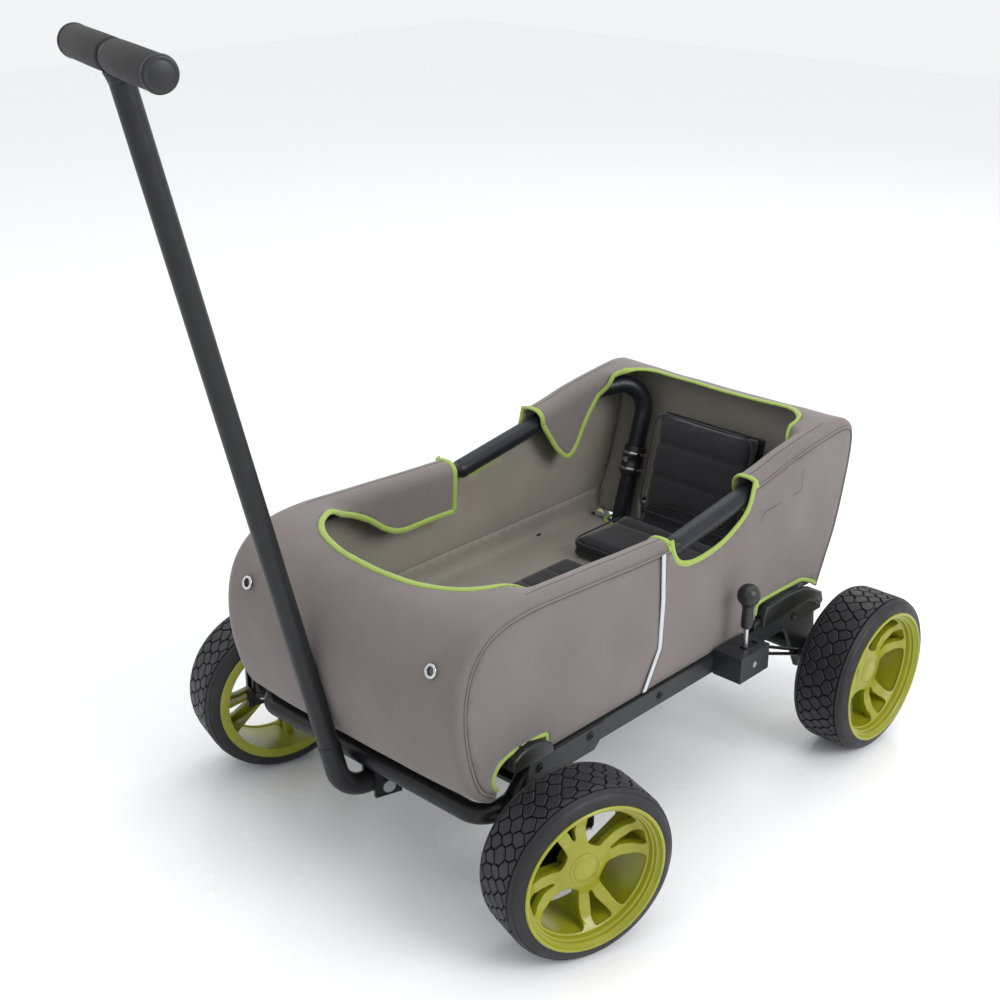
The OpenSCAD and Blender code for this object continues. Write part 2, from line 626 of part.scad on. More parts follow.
module brake_bow() color(frame_black) difference() {
    union() {
        translate([bow_x - 5, brake_y, brake_z]) rotate([0, 90, 0]) cylinder(h = 10, r = 9);
        for (dz = [5, -5]) bent_tube([[bow_x, brake_y, brake_z + dz], [bow_x, brake_y + 70, 160 + dz],
                                      [bow_x, bow_tip[1], bow_tip[2] + dz * 0.6]], [0, 25], 2.2);
        translate([bow_x - 3, bow_tip[1], bow_tip[2]]) rotate([0, 90, 0]) cylinder(h = 34, r = 5.5);
    }
    translate([0, brake_y, brake_z]) rotate([0, 90, 0]) cylinder(h = 300, r = 4 + run_fit);
}

// ---------- assembly ----------
rail_left();
rail_right();
front_rail();
gusset_plates();
cross_members();
rear_brackets();
rear_axle_beam();
rear_axle();
kingpins();
knuckle_left();
knuckle_right();
tie_rod();
tie_rod_pins();
steering_yoke();
yoke_nut();
handle_bend();
handle_tube();
handle_pivot_pin();
crossbar();
grip_sleeves();
grip_caps();
grip_collar();
tyre_front_left();
tyre_front_right();
tyre_rear_left();
tyre_rear_right();
rim_front_left();
rim_front_right();
rim_rear_left();
rim_rear_right();
hub_cap_front_left();
hub_cap_front_right();
hub_cap_rear_left();
hub_cap_rear_right();
front_hoops();
rear_hoops();
rear_legs();
leg_collars();
snap_button_left();
snap_button_right();
leg_sockets();
floor_board();
floor_mat();
seat_cushion();
backrest_board();
backrest_cushion();
backrest_hinge_pin();
front_panel();
rear_panel();
side_panel_left();
side_panel_right();
piping();
grommets();
reflective_strips();
brake_housing();
brake_pin();
brake_lever();
brake_knob();
brake_bow();
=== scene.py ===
"""Looks of the kids pull wagon: fabric tub, quilted pads, treaded wheels, tubes and handle.

Lengths are in metres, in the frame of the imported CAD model: +Z up, the front faces -Y.
"""

import math

import bmesh
import bpy
import numpy as np
from mathutils import Matrix, Vector, noise


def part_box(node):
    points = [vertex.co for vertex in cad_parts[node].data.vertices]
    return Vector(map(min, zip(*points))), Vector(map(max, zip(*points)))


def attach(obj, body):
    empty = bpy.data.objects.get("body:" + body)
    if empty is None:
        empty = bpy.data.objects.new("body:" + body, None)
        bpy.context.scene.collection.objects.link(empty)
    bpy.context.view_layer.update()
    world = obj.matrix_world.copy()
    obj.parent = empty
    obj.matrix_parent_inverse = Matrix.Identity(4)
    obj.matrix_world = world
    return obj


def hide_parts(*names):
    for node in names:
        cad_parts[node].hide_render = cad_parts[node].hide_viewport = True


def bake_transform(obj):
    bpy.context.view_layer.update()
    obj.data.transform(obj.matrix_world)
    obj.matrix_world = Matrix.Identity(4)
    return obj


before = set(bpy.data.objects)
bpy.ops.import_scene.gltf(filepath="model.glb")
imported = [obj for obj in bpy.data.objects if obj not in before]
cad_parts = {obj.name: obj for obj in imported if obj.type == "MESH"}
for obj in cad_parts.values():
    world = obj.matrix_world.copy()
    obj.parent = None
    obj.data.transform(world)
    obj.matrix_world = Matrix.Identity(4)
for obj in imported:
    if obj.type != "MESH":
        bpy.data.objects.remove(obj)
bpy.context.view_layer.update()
MM = 0.001

# ---------- sizes shared with the CAD part ----------
TYRE_R, TYRE_W, RIM_R, RECESS_R = 0.105, 0.078, 0.088, 0.076
TYRE_IN_X, REAR_Y = 0.230, 0.281
STEER = math.radians(-17)
KINGPIN = (0.232, -0.319)
TRAIL = 0.030
WALL_X = 0.192
FLOOR_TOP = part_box("floor_board")[1].z
HINGE_Y = 0.268
BACK_LEAN = math.radians(14)
SEAT_W = 0.214


# ---------- mesh helpers ----------
def new_object(name, verts, faces, material, smooth=True):
    mesh = bpy.data.meshes.new(name)
    mesh.from_pydata([tuple(v) for v in verts], [], [tuple(f) for f in faces])
    mesh.update()
    obj = bpy.data.objects.new(name, mesh)
    bpy.context.scene.collection.objects.link(obj)
    if material is not None:
        mesh.materials.append(material)
    for p in mesh.polygons:
        p.use_smooth = smooth
    return obj


def apply_modifiers(obj):
    """Replaces obj's mesh by what its modifiers make of it."""
    bpy.context.view_layer.update()
    evaluated = obj.evaluated_get(bpy.context.evaluated_depsgraph_get())
    mesh = bpy.data.meshes.new_from_object(evaluated)
    obj.modifiers.clear()
    obj.data = mesh
    return obj


def grid_faces(rows, cols, close_rows=False, close_cols=False):
    """Quads of a grid whose vertex (i, j) has index i * cols + j."""
    faces = []
    for i in range(rows if close_rows else rows - 1):
        for j in range(cols if close_cols else cols - 1):
            k, m = (i + 1) % rows, (j + 1) % cols
            faces.append((i * cols + j, i * cols + m, k * cols + m, k * cols + j))
    return faces


def catmull(points, per_span=8, closed=False):
    """Smooth curve through the points, as an array."""
    p = [np.array(q, float) for q in points]
    n = len(p)
    out = []
    for i in range(n if closed else n - 1):
        a, b, c, d = (p[k % n] if closed else p[min(max(k, 0), n - 1)] for k in range(i - 1, i + 3))
        for k in range(per_span):
            t = k / per_span
            out.append(0.5 * (2 * b + (c - a) * t + (2 * a - 5 * b + 4 * c - d) * t * t
                              + (3 * b - a - 3 * c + d) * t ** 3))
    if not closed:
        out.append(p[-1])
    return np.array(out)


def resample(path, step, closed=False):
    """The same path with points about step apart."""
    path = np.array(path, float)
    if closed:
        path = np.vstack([path, path[:1]])
    lengths = np.r_[0, np.cumsum(np.linalg.norm(np.diff(path, axis=0), axis=1))]
    count = max(2, int(round(lengths[-1] / step)) + 1)
    at = np.linspace(0, lengths[-1], count)
    out = np.stack([np.interp(at, lengths, path[:, k]) for k in range(path.shape[1])], 1)
    return out[:-1] if closed else out


def tube_mesh(name, path, radii, material, sides=20, closed=False, caps=True, up=(0, 0, 1)):
    """Round tube along a path. radii is one number, or (across, along up) pairs for a flat one."""
    path = np.array(path, float)
    n = len(path)
    if closed:
        tangents = np.roll(path, -1, 0) - np.roll(path, 1, 0)
    else:
        tangents = np.gradient(path, axis=0)
    tangents /= np.linalg.norm(tangents, axis=1)[:, None]
    radii = np.broadcast_to(np.array(radii, float), (n, 2) if np.ndim(radii) else (n,))
    ups = np.broadcast_to(np.array(up, float), (n, 3))
    verts, x_prev = [], None
    for i in range(n):
        t = tangents[i]
        if np.ndim(up) == 1 and x_prev is not None:
            x = x_prev - t * (x_prev @ t)
        else:
            x = np.cross(ups[i], t)
            if np.linalg.norm(x) < 1e-3:
                x = np.cross((1, 0, 0), t)
        x = x / np.linalg.norm(x)
        y = np.cross(t, x)
        x_prev = x
        a, b = (radii[i], radii[i]) if radii.ndim == 1 else radii[i]
        for k in range(sides):
            angle = 2 * math.pi * k / sides
            verts.append(path[i] + x * a * math.cos(angle) + y * b * math.sin(angle))
    faces = grid_faces(n, sides, close_rows=closed, close_cols=True)
    if caps and not closed:
        faces += [tuple(range(sides))[::-1], tuple((n - 1) * sides + k for k in range(sides))]
    obj = new_object(name, verts, faces, material)
    if caps and not closed:
        obj.data.polygons[-1].use_smooth = obj.data.polygons[-2].use_smooth = False
    return obj


def lathe(name, profile, material, sides=96, smooth=True):
    """Closed profile of (radius, height) pairs turned about local Z."""
    verts = []
    for k in range(sides):
        c, s = math.cos(2 * math.pi * k / sides), math.sin(2 * math.pi * k / sides)
        verts += [(r * c, r * s, z) for r, z in profile]
    return new_object(name, verts, grid_faces(sides, len(profile), True, True), material, smooth)


def bevel(obj, width, segments=2, angle=35):
    m = obj.modifiers.new("bevel", "BEVEL")
    m.width, m.segments, m.limit_method, m.angle_limit = width, segments, "ANGLE", math.radians(angle)
    m.harden_normals = False
    return obj


def join(name, objects):
    """One object from several, keeping each one's materials."""
    materials, bm = [], bmesh.new()
    for o in objects:
        apply_modifiers(o)
        index = []
        for m in o.data.materials:
            if m not in materials:
                materials.append(m)
            index.append(materials.index(m))
        first = len(bm.faces)
        o.data.transform(o.matrix_world)
        bm.from_mesh(o.data)
        bm.faces.ensure_lookup_table()
        for f in bm.faces[first:]:
            f.material_index = index[f.material_index] if index else 0
        bpy.data.objects.remove(o)
    mesh = bpy.data.meshes.new(name)
    bm.to_mesh(mesh)
    bm.free()
    for m in materials:
        mesh.materials.append(m)
    obj = bpy.data.objects.new(name, mesh)
    bpy.context.scene.collection.objects.link(obj)
    return obj


# ---------- materials ----------
def linear(rgb):
    return [c / 12.92 if c <= 0.04045 else ((c + 0.055) / 1.055) ** 2.4 for c in [v / 255 for v in rgb]]


class Nodes:
    """Short names for the node work of one material."""

    def __init__(self, name):
        self.material = bpy.data.materials.new(name)
        self.material.use_nodes = True
        self.tree = self.material.node_tree
        self.shader = self.tree.nodes["Principled BSDF"]
        self.place = self.add("ShaderNodeTexCoord").outputs["Object"]

    def add(self, kind, links=None, **values):
        node = self.tree.nodes.new(kind)
        for key, value in values.items():
            setattr(node, key, value)
        for key, value in (links or {}).items():
            if isinstance(value, bpy.types.NodeSocket):
                self.tree.links.new(value, node.inputs[key])
            else:
                node.inputs[key].default_value = value
        return node

    def math(self, operation, a, b=0.0, clamp=False):
        node = self.add("ShaderNodeMath", {0: a, 1: b}, operation=operation)
        node.use_clamp = clamp
        return node.outputs[0]

    def noise(self, scale, detail=3.0, roughness=0.5, distortion=0.0, place=None):
        return self.add("ShaderNodeTexNoise", {
            "Vector": place or self.place, "Scale": scale, "Detail": detail,
            "Roughness": roughness, "Distortion": distortion}).outputs["Fac"]

    def ramp(self, factor, low, high, out_low=0.0, out_high=1.0):
        return self.add("ShaderNodeMapRange", {
            "Value": factor, "From Min": low, "From Max": high, "To Min": out_low,
            "To Max": out_high}).outputs["Result"]

    def mix(self, factor, a, b):
        node = self.add("ShaderNodeMix", data_type="RGBA")
        for socket, value in ((node.inputs[0], factor), (node.inputs[6], a), (node.inputs[7], b)):
            if isinstance(value, bpy.types.NodeSocket):
                self.tree.links.new(value, socket)
            else:
                socket.default_value = value if not hasattr(value, "__len__") else [*value[:3], 1]
        return node.outputs[2]

    def set(self, **values):
        names = {"color": "Base Color", "metallic": "Metallic", "roughness": "Roughness",
                 "coat": "Coat Weight", "coat_roughness": "Coat Roughness", "sheen": "Sheen Weight",
                 "sheen_roughness": "Sheen Roughness", "specular": "Specular IOR Level"}
        for key, value in values.items():
            socket = self.shader.inputs[names[key]]
            if isinstance(value, bpy.types.NodeSocket):
                self.tree.links.new(value, socket)
            else:
                socket.default_value = [*value, 1] if key == "color" else value
        return self

    def bump(self, height, strength=0.3, distance=0.0005, under=None):
        links = {"Height": height, "Strength": strength, "Distance": distance}
        if under is not None:
            links["Normal"] = under
        normal = self.add("ShaderNodeBump", links).outputs["Normal"]
        self.tree.links.new(normal, self.shader.inputs["Normal"])
        return normal


def weave_height(m, pitch):
    """Plain weave: crossing threads of the given pitch, on the two directions that face best."""
    scale = 2 * math.pi / pitch
    split = m.add("ShaderNodeSeparateXYZ", {0: m.place}).outputs
    waves = [m.math("SINE", m.math("MULTIPLY", s, scale)) for s in split]
    product = m.math("MULTIPLY", m.math("ADD", waves[0], waves[1]), waves[2])
    return m.ramp(product, -2, 2)


def fabric(name, rgb, pitch=0.0011, vary=0.10, rough=0.85, sheen=0.25, wrinkle=0.4):
    """Woven polyester: thread-scale weave, soft shade variation, broad creases as bump."""
    m = Nodes(name)
    base = linear(rgb)
    shade = m.ramp(m.noise(9, 4, 0.55), 0.3, 0.7)
    fine = m.ramp(m.noise(900, 2), 0.3, 0.7)
    tone = m.mix(shade, [c * (1 - vary) for c in base], [min(1, c * (1 + vary)) for c in base])
    tone = m.mix(m.math("MULTIPLY", fine, 0.35), tone, [c * 0.62 for c in base])
    weave = weave_height(m, pitch)
    m.set(color=tone, roughness=m.ramp(fine, 0, 1, rough - 0.07, min(1.0, rough + 0.06)),
          sheen=sheen, sheen_roughness=0.5, specular=0.25)
    broad = m.bump(m.noise(14, 3, 0.5, 0.6), wrinkle, 0.004)
    m.bump(m.math("ADD", weave, m.math("MULTIPLY", fine, 0.6)), 0.35, 0.0003, broad)
    return m.material


def powder_coat(name, rgb, rough=0.38, speck=0.1, edge=True):
    """Powder coated steel: fine orange peel, faint dust, and a painted highlight that lightens convex edges in patches.
    """
    m = Nodes(name)
    base = linear(rgb)
    dust = m.ramp(m.noise(22, 5, 0.6), 0.45, 0.75)
    tone = m.mix(m.math("MULTIPLY", dust, speck), base, [min(1, c * 1.6 + 0.02) for c in base])
    if edge:
        # painted highlight: convex edges (high pointiness) are lightened towards twice the base colour, in noisy
        # patches
        edge_highlight = m.ramp(m.add("ShaderNodeNewGeometry").outputs["Pointiness"], 0.58, 0.68)
        edge_highlight = m.math("MULTIPLY", edge_highlight, m.ramp(m.noise(60, 4), 0.4, 0.7, 0.0, 0.25))
        tone = m.mix(edge_highlight, tone, [min(1, c * 2.0 + 0.02) for c in base])
    m.set(color=tone, roughness=m.ramp(m.noise(30, 4), 0.3, 0.7, rough - 0.03, rough + 0.04),
          specular=0.32)
    m.bump(m.noise(1400, 2), 0.12, 0.0002)
    return m.material


def moulded(name, rgb, rough=0.45, grain=700, depth=0.2, coat=0.0):
    """Moulded plastic: fine grain and slight flow marks."""
    m = Nodes(name)
    base = linear(rgb)
    flow = m.ramp(m.noise(16, 3, 0.5, 1.2), 0.3, 0.7)
    m.set(color=m.mix(flow, [c * 0.94 for c in base], [min(1, c * 1.06) for c in base]),
          roughness=m.ramp(m.noise(40, 3), 0.3, 0.7, rough - 0.05, rough + 0.05), coat=coat,
          coat_roughness=0.2)
    m.bump(m.noise(grain, 3), depth, 0.0002)
    return m.material


def rubber(name, rgb):
    """Tyre rubber: matt black with dusty patches and fine mould texture."""
    m = Nodes(name)
    base = linear(rgb)
    dust = m.ramp(m.noise(35, 5, 0.6), 0.45, 0.8)
    m.set(color=m.mix(m.math("MULTIPLY", dust, 0.25), base, [c * 2.2 + 0.006 for c in base]),
          roughness=m.ramp(m.noise(50, 4), 0.3, 0.7, 0.42, 0.58), specular=0.45)
    m.bump(m.noise(600, 3), 0.15, 0.0003)
    return m.material


def bare_metal(name, rgb, rough=0.25, brushed=0.2):
    m = Nodes(name)
    base = linear(rgb)
    stain = m.ramp(m.noise(45, 4), 0.35, 0.75)
    m.set(color=m.mix(stain, [c * 0.85 for c in base], base), metallic=1.0,
          roughness=m.ramp(m.noise(120, 3), 0.3, 0.7, rough - 0.08, rough + 0.1))
    m.bump(m.noise(900, 2), brushed, 0.0001)
    return m.material


def foam(name, rgb):
    """Closed-cell foam of the grips: pitted skin."""
    m = Nodes(name)
    base = linear(rgb)
    cells = m.add("ShaderNodeTexVoronoi", {"Vector": m.place, "Scale": 900.0}).outputs["Distance"]
    m.set(color=m.mix(m.ramp(m.noise(60, 3), 0.3, 0.7), [c * 0.85 for c in base],
                      [c * 1.15 for c in base]), roughness=m.ramp(cells, 0, 0.6, 0.9, 0.72))
    m.bump(cells, 0.3, 0.0004)
    return m.material


TAUPE = fabric("tub_outside", (116, 108, 105), wrinkle=0.35)
LINING = fabric("tub_lining", (146, 141, 131), pitch=0.0009, rough=0.62, sheen=0.08, wrinkle=0.3)
PIPING = fabric("lime_binding", (152, 174, 82), pitch=0.0008, vary=0.07, rough=0.7, wrinkle=0.25)
PAD = fabric("pad_cloth", (33, 31, 35), pitch=0.0013, vary=0.16, rough=0.88, sheen=0.3, wrinkle=0.3)
STITCH = fabric("dark_thread", (66, 62, 62), pitch=0.0006, wrinkle=0.1)
TAPE = fabric("reflective_tape", (203, 207, 211), pitch=0.0007, vary=0.05, rough=0.42, wrinkle=0.2)
TYRE = rubber("tyre_rubber", (21, 20, 23))
RIM = moulded("rim_plastic", (140, 142, 20), rough=0.36, grain=500, depth=0.10, coat=0.25)
PLASTIC = moulded("black_plastic", (22, 22, 24), rough=0.40)
BALL = moulded("knob_plastic", (27, 26, 27), rough=0.38, depth=0.3)
GRIP = foam("grip_foam", (38, 37, 38))
TUBE = powder_coat("tube_charcoal", (30, 30, 32), rough=0.42, speck=0.03)
HOOP = powder_coat("tube_blue_black", (28, 30, 36), rough=0.34, speck=0.03)
RAIL = powder_coat("rail_grey", (34, 35, 39), rough=0.38, speck=0.05)
BLACK = powder_coat("black_steel", (16, 16, 18), rough=0.34, speck=0.04)
ZINC = bare_metal("zinc_plate", (190, 192, 196), rough=0.3)
CHROME = bare_metal("eyelet_nickel", (205, 206, 208), rough=0.16, brushed=0.05)


# ---------- sheets cut from flat outlines ----------
def inside(points, polygon):
    """Which of the points lie in the polygon."""
    x, y = points[:, 0], points[:, 1]
    px, py = polygon[:, 0], polygon[:, 1]
    qx, qy = np.roll(px, -1), np.roll(py, -1)
    crossing = (py[None] > y[:, None]) != (qy[None] > y[:, None])
    with np.errstate(divide="ignore", invalid="ignore"):
        at = px + (y[:, None] - py) * (qx - px) / (qy - py)
    return (crossing & (x[:, None] < at)).sum(1) % 2 == 1


def edge_distance(points, polygon):
    a, b = polygon, np.roll(polygon, -1, 0)
    d = b - a
    t = np.clip(((points[:, None] - a) * d).sum(2) / np.maximum((d * d).sum(1), 1e-18), 0, 1)
    return np.linalg.norm(points[:, None] - a - t[..., None] * d, axis=2).min(1)


def cut_sheet(name, outline, place, material, step=0.008, holes=(), edge_step=None):
    """A sheet with this flat outline and holes, every flat point (u, v) put at place(u, v)."""
    from mathutils.geometry import delaunay_2d_cdt
    loops = [resample(np.array(l, float), edge_step or step * 0.7, closed=True) for l in (outline, *holes)]
    low, high = loops[0].min(0), loops[0].max(0)
    rows = np.arange(low[1] + step / 2, high[1], step * 0.866)
    inner = np.vstack([np.c_[np.arange(low[0] + step * (0.5 if k % 2 else 0), high[0], step)[:, None],
                             np.full((len(np.arange(low[0] + step * (0.5 if k % 2 else 0), high[0], step)), 1), v)]
                       for k, v in enumerate(rows)])
    keep = inside(inner, loops[0])
    for l in loops[1:]:
        keep &= ~inside(inner, l)
    inner = inner[keep]
    for l in loops:
        inner = inner[edge_distance(inner, l) > step * 0.45]
    points, edges = [tuple(p) for p in inner], []
    for l in loops:
        first = len(points)
        points += [tuple(p) for p in l]
        edges += [(first + k, first + (k + 1) % len(l)) for k in range(len(l))]
    verts, _, faces, *_ = delaunay_2d_cdt([Vector(p) for p in points], edges, [], 0, 1e-7)
    flat = np.array([tuple(v) for v in verts])
    middles = np.array([flat[list(f)].mean(0) for f in faces])
    ok = inside(middles, loops[0])
    for l in loops[1:]:
        ok &= ~inside(middles, l)
    obj = new_object(name, [place(u, v) for u, v in flat], [f for f, k in zip(faces, ok) if k], material)
    bm = bmesh.new()
    bm.from_mesh(obj.data)
    bmesh.ops.delete(bm, geom=[v for v in bm.verts if not v.link_faces], context="VERTS")
    bm.to_mesh(obj.data)
    bm.free()
    return obj


def face_towards(obj, direction_of):
    """Turns a sheet over if most of it doesn't face direction_of(centre)."""
    score = sum(p.area * Vector(direction_of(p.center)).dot(p.normal) for p in obj.data.polygons)
    if score < 0:
        obj.data.flip_normals()
    return obj


def lined(obj, thickness, lining):
    """Gives a sheet its thickness inwards, with the lining on the inner side."""
    obj.data.materials.append(lining)
    m = obj.modifiers.new("lined", "SOLIDIFY")
    m.thickness, m.offset, m.material_offset, m.material_offset_rim = thickness, -1, 1, 0
    return apply_modifiers(obj)


# ---------- wheels ----------
def wheel_place(front, side):
    """Frame of a wheel: local Z points out along its axle from the tyre's inner face."""
    out = Matrix.Rotation(side * math.pi / 2, 4, "Y")
    if not front:
        return Matrix.Translation((side * TYRE_IN_X, REAR_Y, TYRE_R)) @ out
    kingpin = Matrix.Translation((side * KINGPIN[0], KINGPIN[1], 0)) @ Matrix.Rotation(STEER, 4, "Z")
    return kingpin @ Matrix.Translation((side * (TYRE_IN_X - KINGPIN[0]), TRAIL, TYRE_R)) @ out


TREAD_DEPTH = 0.0032
TREAD_ROWS, TREAD_COUNT = 4, 36


def tyre_radius(z):
    """Outer radius of the tyre at height z over its inner face: flat tread, round shoulders."""
    edge = min(z, TYRE_W - z) - 0.0006
    r = 0.016
    if edge >= r:
        return TYRE_R
    return TYRE_R - r + math.sqrt(max(0.0, r * r - (r - edge) ** 2))


def tread_blocks(material):
    """Interlocking six-sided tread blocks with bevelled tops, in rows round the tyre."""
    low, high = 0.0115, TYRE_W - 0.0115
    pitch_z = (high - low) / TREAD_ROWS
    pitch_a = 2 * math.pi / TREAD_COUNT
    verts, faces = [], []

    def corner(row_line, k):
        # row_line counts half rows, so each corner is shared by its neighbours
        shake = noise.noise_vector(Vector((row_line * 3.7, (k % (2 * TREAD_COUNT)) * 1.9, 0.5)))
        z = low + row_line * pitch_z / 4 + shake.x * 0.0030
        return k * pitch_a / 2 + shake.y * 0.22 * pitch_a, min(max(z, low), high)

    for row in range(TREAD_ROWS + 1):
        for k in range(TREAD_COUNT):
            a = 2 * k + (row % 2)
            ring = [corner(4 * row - 3, a), corner(4 * row - 1, a + 1), corner(4 * row + 1, a + 1),
                    corner(4 * row + 3, a), corner(4 * row + 1, a - 1), corner(4 * row - 1, a - 1)]
            ring = [np.array(p) for p in ring]
            middle = sum(ring) / 6
            if max(p[1] for p in ring) - min(p[1] for p in ring) < 0.004:
                continue
            gap = 0.0010
            first = len(verts)
            for inset, depth in ((gap * 0.6, TREAD_DEPTH + 0.0004), (gap, 0.0007), (gap + 0.0009, 0.0)):
                for p in ring:
                    d = (middle - p) * np.array([TYRE_R, 1])
                    length = np.linalg.norm(d)
                    q = p + (middle - p) * min(0.8, inset * 1.15 / length)
                    r = tyre_radius(q[1]) - depth
                    verts.append((r * math.cos(q[0]), r * math.sin(q[0]), q[1]))
            r = tyre_radius(middle[1]) + 0.0001
            verts.append((r * math.cos(middle[0]), r * math.sin(middle[0]), middle[1]))
            for level in (0, 1):
                for j in range(6):
                    m = (j + 1) % 6
                    faces.append((first + level * 6 + j, first + level * 6 + m,
                                  first + level * 6 + 6 + m, first + level * 6 + 6 + j))
            faces += [(first + 12 + j, first + 12 + (j + 1) % 6, first + 18) for j in range(6)]
    obj = new_object("tread", verts, faces, material)
    obj.data.set_sharp_from_angle(angle=math.radians(32))
    return obj


def tyre_mesh():
    """Tyre body with a sunken tread band, its blocks, and a moulded ring on each shoulder."""
    profile = []
    for k in range(41):
        z = 0.0006 + (TYRE_W - 0.0012) * k / 40
        r = tyre_radius(z)
        edge = min(z, TYRE_W - z)
        profile.append((r - TREAD_DEPTH * min(1, max(0, (edge - 0.0108) / 0.0012)), z))
    inner = [(RIM_R, TYRE_W - 0.0006), (RIM_R - 0.0004, TYRE_W - 0.004), (0.080, TYRE_W - 0.0042),
             (0.080, 0.0042), (RIM_R - 0.0004, 0.004), (RIM_R, 0.0006)]
    body = lathe("tyre_body", profile + inner, TYRE, sides=192)
    body.data.set_sharp_from_angle(angle=math.radians(50))
    rings = []
    for z in (0.0062, TYRE_W - 0.0062):
        r = tyre_radius(z)
        rings.append(lathe("ring", [(r + 0.0006, z), (r - 0.0002, z - 0.0009), (r - 0.001, z),
                                    (r - 0.0002, z + 0.0009)], TYRE, sides=128))
    return join("tyre_shape", [body, tread_blocks(TYRE), *rings]).data


def web_height(r):
    """Outer face of the spoke web: high at the hub, dished, and flaring out to the lip."""
    return float(np.interp(r, [0.0, 0.019, 0.026, 0.036, 0.050, 0.064, 0.074, 0.078],
                           [0.0555, 0.0555, 0.0535, 0.0505, 0.0500, 0.0545, 0.0630, 0.0665]))


def petal(angle, half_in, half_out, r_in, r_out):
    """Outline of a window between spokes: rounded towards the hub, wide at the barrel."""
    pts = [(r_in, 0.0), (r_in + (r_out - r_in) * 0.06, half_in * 0.75), (r_in + (r_out - r_in) * 0.30, half_in),
           (r_in + (r_out - r_in) * 0.62, half_in * 0.4 + half_out * 0.6), (r_out - 0.006, half_out),
           (r_out - 0.0008, half_out * 0.93), (r_out, half_out * 0.75), (r_out, half_out * 0.35), (r_out, 0.0)]
    upper = catmull(pts, 6)
    ring = np.vstack([upper, upper[::-1][1:-1] * [1, -1]])
    return np.c_[ring[:, 0] * np.cos(angle + ring[:, 1]), ring[:, 0] * np.sin(angle + ring[:, 1])]


def rim_mesh():
    """Four double spokes: large windows between them, a leaf-shaped slit in each, ribs behind."""
    quarter = math.pi / 2
    windows = [petal(quarter * k + quarter / 2, 0.40, 0.455, 0.027, 0.0742) for k in range(4)]
    slits = [petal(quarter * k, 0.070, 0.155, 0.037, 0.0742) for k in range(4)]
    circle = np.array([(0.0765 * math.cos(a), 0.0765 * math.sin(a)) for a in np.linspace(0, 2 * math.pi, 181)[:-1]])
    web = cut_sheet("web", circle, lambda x, y: (x, y, web_height(math.hypot(x, y))), RIM,
                    step=0.0042, holes=windows + slits, edge_step=0.0022)
    face_towards(web, lambda c: (0, 0, 1))
    thick = web.modifiers.new("thick", "SOLIDIFY")
    thick.thickness, thick.offset = 0.009, -1
    bevel(web, 0.0011, 3, 50)
    barrel = lathe("barrel", [
        (RECESS_R, 0.0), (RIM_R - 0.001, 0.0), (RIM_R, 0.0008), (RIM_R, 0.0039), (0.0799, 0.0041),
        (0.0799, TYRE_W - 0.0041), (RIM_R, TYRE_W - 0.0039), (RIM_R, TYRE_W + 0.0006),
        (RIM_R - 0.0012, TYRE_W + 0.0014), (RIM_R - 0.0035, TYRE_W + 0.0010),
        (0.0828, TYRE_W - 0.0035), (0.0800, TYRE_W - 0.0060), (0.0795, TYRE_W - 0.0075),
        (0.0775, TYRE_W - 0.0082), (0.0765, TYRE_W - 0.012), (0.0758, 0.050), (RECESS_R, 0.012)], RIM, sides=160)
    barrel.data.set_sharp_from_angle(angle=math.radians(40))
    hub = lathe("hub", [(0.0062, 0.028), (0.0185, 0.028), (0.0188, 0.030), (0.0195, 0.0545), (0.0190, 0.0558),
                        (0.0175, 0.0560), (0.0173, 0.0535), (0.0062, 0.0530)], RIM, sides=72)
    hub.data.set_sharp_from_angle(angle=math.radians(40))
    parts = [web, barrel, hub]
    for k in range(4):
        for side in (-1, 1):
            # the two ribs behind a double spoke
            a = quarter * k + side * 0.26
            d, n = Vector((math.cos(a), math.sin(a), 0)), Vector((-math.sin(a), math.cos(a), 0))
            rib = [d * 0.019 + n * 0.0022, d * 0.0762 + n * 0.0030, d * 0.0762 - n * 0.0030, d * 0.019 - n * 0.0022]
            low = [0.032, 0.030, 0.030, 0.032]
            high = [0.0440, 0.0470, 0.0470, 0.0440]
            verts = [(*p[:2], z) for p, z in zip(rib, low)] + [(*p[:2], z) for p, z in zip(rib, high)]
            parts.append(new_object("rib", verts, [(3, 2, 1, 0), (4, 5, 6, 7), (0, 1, 5, 4), (1, 2, 6, 5),
                                                   (2, 3, 7, 6), (3, 0, 4, 7)], RIM, smooth=False))
    return join("rim_shape", parts).data


def cap_mesh():
    profile = [(0.0002, 0.0575), (0.0080, 0.0572), (0.0130, 0.0566), (0.0158, 0.0556), (0.0168, 0.0544),
               (0.0169, 0.0515), (0.0002, 0.0515)]
    cap = lathe("cap", profile, RIM, sides=96)
    cap.data.set_sharp_from_angle(angle=math.radians(45))
    return cap


def remove_shape(obj):
    mesh = obj.data
    bpy.data.objects.remove(obj)
    return mesh


tyre_shape, rim_shape, cap_shape = tyre_mesh(), rim_mesh(), remove_shape(cap_mesh())
for made in ("tyre_shape", "rim_shape"):
    bpy.data.objects.remove(bpy.data.objects[made])
for front in (True, False):
    for side in (1, -1):
        corner = f"{'front' if front else 'rear'}_{'left' if side > 0 else 'right'}"
        turned = {"front_left": 17, "front_right": 64, "rear_left": 26}.get(corner, 5)
        turn = Matrix.Rotation(math.radians(turned), 4, "Z")
        for kind, shape, finish in (("tyre", tyre_shape, "tyre_rubber"), ("rim", rim_shape, "rim_plastic"),
                                    ("hub_cap", cap_shape, "cap_plastic")):
            piece = bpy.data.objects.new(f"{kind}_look_{corner}", shape)
            bpy.context.scene.collection.objects.link(piece)
            piece.matrix_world = wheel_place(front, side) @ turn
            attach(piece, f"wheel_{corner}")
            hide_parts(f"{kind}_{corner}")


# ---------- fabric tub ----------
ROLL = 0.011
FOLD = 0.014
FLAT_X = WALL_X - ROLL
FOLD_X = 0.172
SEAM_W = FLAT_X + ROLL * math.pi / 2
CLOTH = 0.0026


def mm(*points):
    return [tuple(v * MM for v in p) for p in points]


